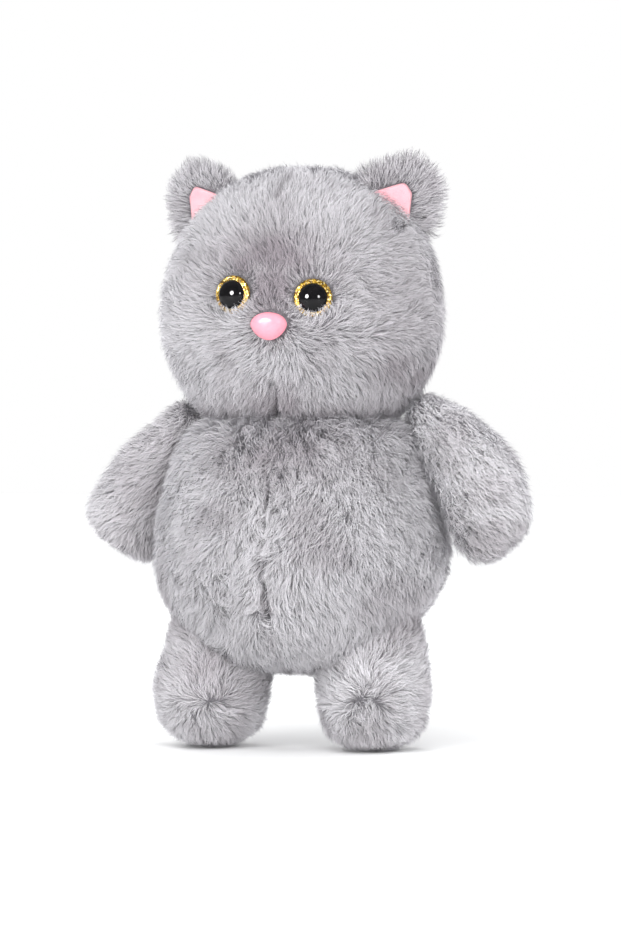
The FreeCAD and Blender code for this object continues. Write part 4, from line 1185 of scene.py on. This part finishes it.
def nose_outline(scale):
    """Arched on top, widest a little above the middle, drawn in to a round tip."""
    a = np.linspace(0, 2 * math.pi, 144, endpoint=False)
    x, y = np.cos(a), np.sin(a)
    low = np.clip(-y, 0, 1)
    pts = np.column_stack([10.2 * x * (1 - 0.16 * low), np.where(y > 0, 6.7 * y, -8.3 * low)])
    return resampled(pts * scale, 72) - np.array([0, 0.6]), np.array([0, -0.6])


pts, c = nose_outline(1)
rows = []
steps = 16
for k in range(steps):
    t = k / steps * 90
    f, h = math.cos(math.radians(t)) ** 0.62, math.sin(math.radians(t))
    lift_top = 0.8 * h
    rows.append(np.column_stack([c + (pts - c) * f + np.array([0, lift_top]), np.full(len(pts), 0.6 + 6.0 * h)]))
v = np.vstack([[[*c, -0.4]], np.column_stack([pts * 0.96, np.full(len(pts), -0.4)]), *rows, [[c[0], c[1] + 0.8, 6.6]]])
k = len(pts)
faces = [(0, 1 + (j + 1) % k, 1 + j) for j in range(k)]
for i in range(len(rows)):
    for j in range(k):
        a = 1 + i * k
        faces.append((a + j, a + (j + 1) % k, a + k + (j + 1) % k, a + k + j))
last = len(v) - 1
faces += [(last, last - k + j, last - k + (j + 1) % k) for j in range(k)]
local = np.column_stack([v[:, 0], -v[:, 2], v[:, 1]]) * MM
nose = mesh_object("nose_button", local + NOSE, faces, nose_mat)
sub = nose.modifiers.new("round", "SUBSURF")
sub.levels = sub.render_levels = 1
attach(nose, "head")
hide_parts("nose")
stem = turned(
    "nose_stem",
    [(0, -15.8), (2.0, -15.8), (2.6, -15.2), (2.6, -0.2), (0, -0.2)],
    32,
    nose_mat,
    Matrix.Translation(Vector(NOSE.tolist())) @ Matrix.Rotation(math.radians(90), 4, "X"),
)
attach(stem, "head")

for name in ("eye_lock_washer_left", "eye_lock_washer_right", "nose_lock_washer"):
    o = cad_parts[name]
    o.data.materials.clear()
    o.data.materials.append(washer_mat)

# -------------------------------------------------------------- floor, lights
floor_me = bpy.data.meshes.new("floor")
R = 7.0
floor_me.from_pydata([(-R, -R, 0), (R, -R, 0), (R, R, 0), (-R, R, 0)], [], [(0, 1, 2, 3)])
floor = bpy.data.objects.new("floor", floor_me)
scene.collection.objects.link(floor)
fm, nt, pb = material("floor_white")
pb.inputs["Base Color"].default_value = (0.93, 0.93, 0.93, 1)
pb.inputs["Roughness"].default_value = 0.8
pb.inputs["Specular IOR Level"].default_value = 0.1
floor_me.materials.append(fm)

world = bpy.data.worlds.new("studio") if not bpy.data.worlds else bpy.data.worlds[0]
scene.world = world
world.use_nodes = True
wn = world.node_tree
wn.nodes.clear()
out = wn.nodes.new("ShaderNodeOutputWorld")
light_bg = wn.nodes.new("ShaderNodeBackground")
seen_bg = wn.nodes.new("ShaderNodeBackground")
mix = wn.nodes.new("ShaderNodeMixShader")
path = wn.nodes.new("ShaderNodeLightPath")
light_bg.inputs["Color"].default_value = (0.98, 0.99, 1.0, 1)
light_bg.inputs["Strength"].default_value = 0.82
seen_bg.inputs["Color"].default_value = (1, 1, 1, 1)
seen_bg.inputs["Strength"].default_value = 1.0
wn.links.new(path.outputs["Is Camera Ray"], mix.inputs["Fac"])
gloss_bg = wn.nodes.new("ShaderNodeBackground")
gloss_bg.inputs["Color"].default_value = (1, 1, 1, 1)
gloss_bg.inputs["Strength"].default_value = 0.25
gloss_mix = wn.nodes.new("ShaderNodeMixShader")
wn.links.new(path.outputs["Is Glossy Ray"], gloss_mix.inputs["Fac"])
wn.links.new(light_bg.outputs[0], gloss_mix.inputs[1])
wn.links.new(gloss_bg.outputs[0], gloss_mix.inputs[2])
wn.links.new(gloss_mix.outputs[0], mix.inputs[1])
wn.links.new(seen_bg.outputs[0], mix.inputs[2])
wn.links.new(mix.outputs[0], out.inputs["Surface"])


def area(name, at, aim, size, power):
    d = bpy.data.lights.new(name, "AREA")
    d.shape = "SQUARE"
    d.size = size
    d.energy = power
    o = bpy.data.objects.new(name, d)
    o.location = at
    o.rotation_euler = (Vector(aim) - Vector(at)).to_track_quat("-Z", "Y").to_euler()
    scene.collection.objects.link(o)
    return o


def sun(name, way, strength, angle):
    d = bpy.data.lights.new(name, "SUN")
    d.energy = strength
    d.angle = math.radians(angle)
    o = bpy.data.objects.new(name, d)
    o.rotation_euler = (-Vector(way)).to_track_quat("-Z", "Y").to_euler()
    scene.collection.objects.link(o)
    return o


key = sun("overhead", (0.02, -0.90, 0.86), 1.75, 60)
key.visible_glossy = False
for soft in (
    area("softbox_left", (-0.9, -1.6, 0.4), (0, 0, 0.15), 0.5, 8),
    area("softbox_right", (1.2, -1.45, 0.20), (0.05, 0, 0.1), 0.6, 12),
):
    soft.visible_glossy = False
area("back_left", (-1.2, 1.3, 0.9), (0, 0, 0.2), 0.6, 9)
area("back_right", (1.2, 1.2, 0.9), (0, 0, 0.2), 0.6, 9)
# the small bright lamps that show as points on the eyes and the nose
for name, at, size, power in (
    ("lamp_left", (-0.62, -1.75, 0.62), 0.60, 75),
    ("lamp_right", (1.25, -1.45, 0.6), 0.42, 20),
):
    lamp = area(name, at, (0, 0, 0.22), size, power)
    lamp.data.shape = "DISK"
    lamp.visible_diffuse = False

# --------------------------------------------------------------------- camera
AZ, EL, D = math.radians(16.6), math.radians(0.6), 2.0
cam_data = bpy.data.cameras.new("camera")
cam_data.sensor_width = 36.0
cam_data.lens = 0.06968 * D * 1000
cam = bpy.data.objects.new("camera", cam_data)
scene.collection.objects.link(cam)
right = Vector((math.cos(AZ), math.sin(AZ), 0))
back = Vector((math.sin(AZ) * math.cos(EL), -math.cos(AZ) * math.cos(EL), math.sin(EL)))
target = Vector((DX * MM, 0, 0)) + right * 0.0041 + Vector((0, 0, 0.1556))
cam.location = target + back * D
cam.rotation_euler = (-back).to_track_quat("-Z", "Y").to_euler()
cam_data.clip_start, cam_data.clip_end = 0.05, 50
scene.camera = cam
scene.view_settings.view_transform = "Standard"
scene.view_settings.look = "None"
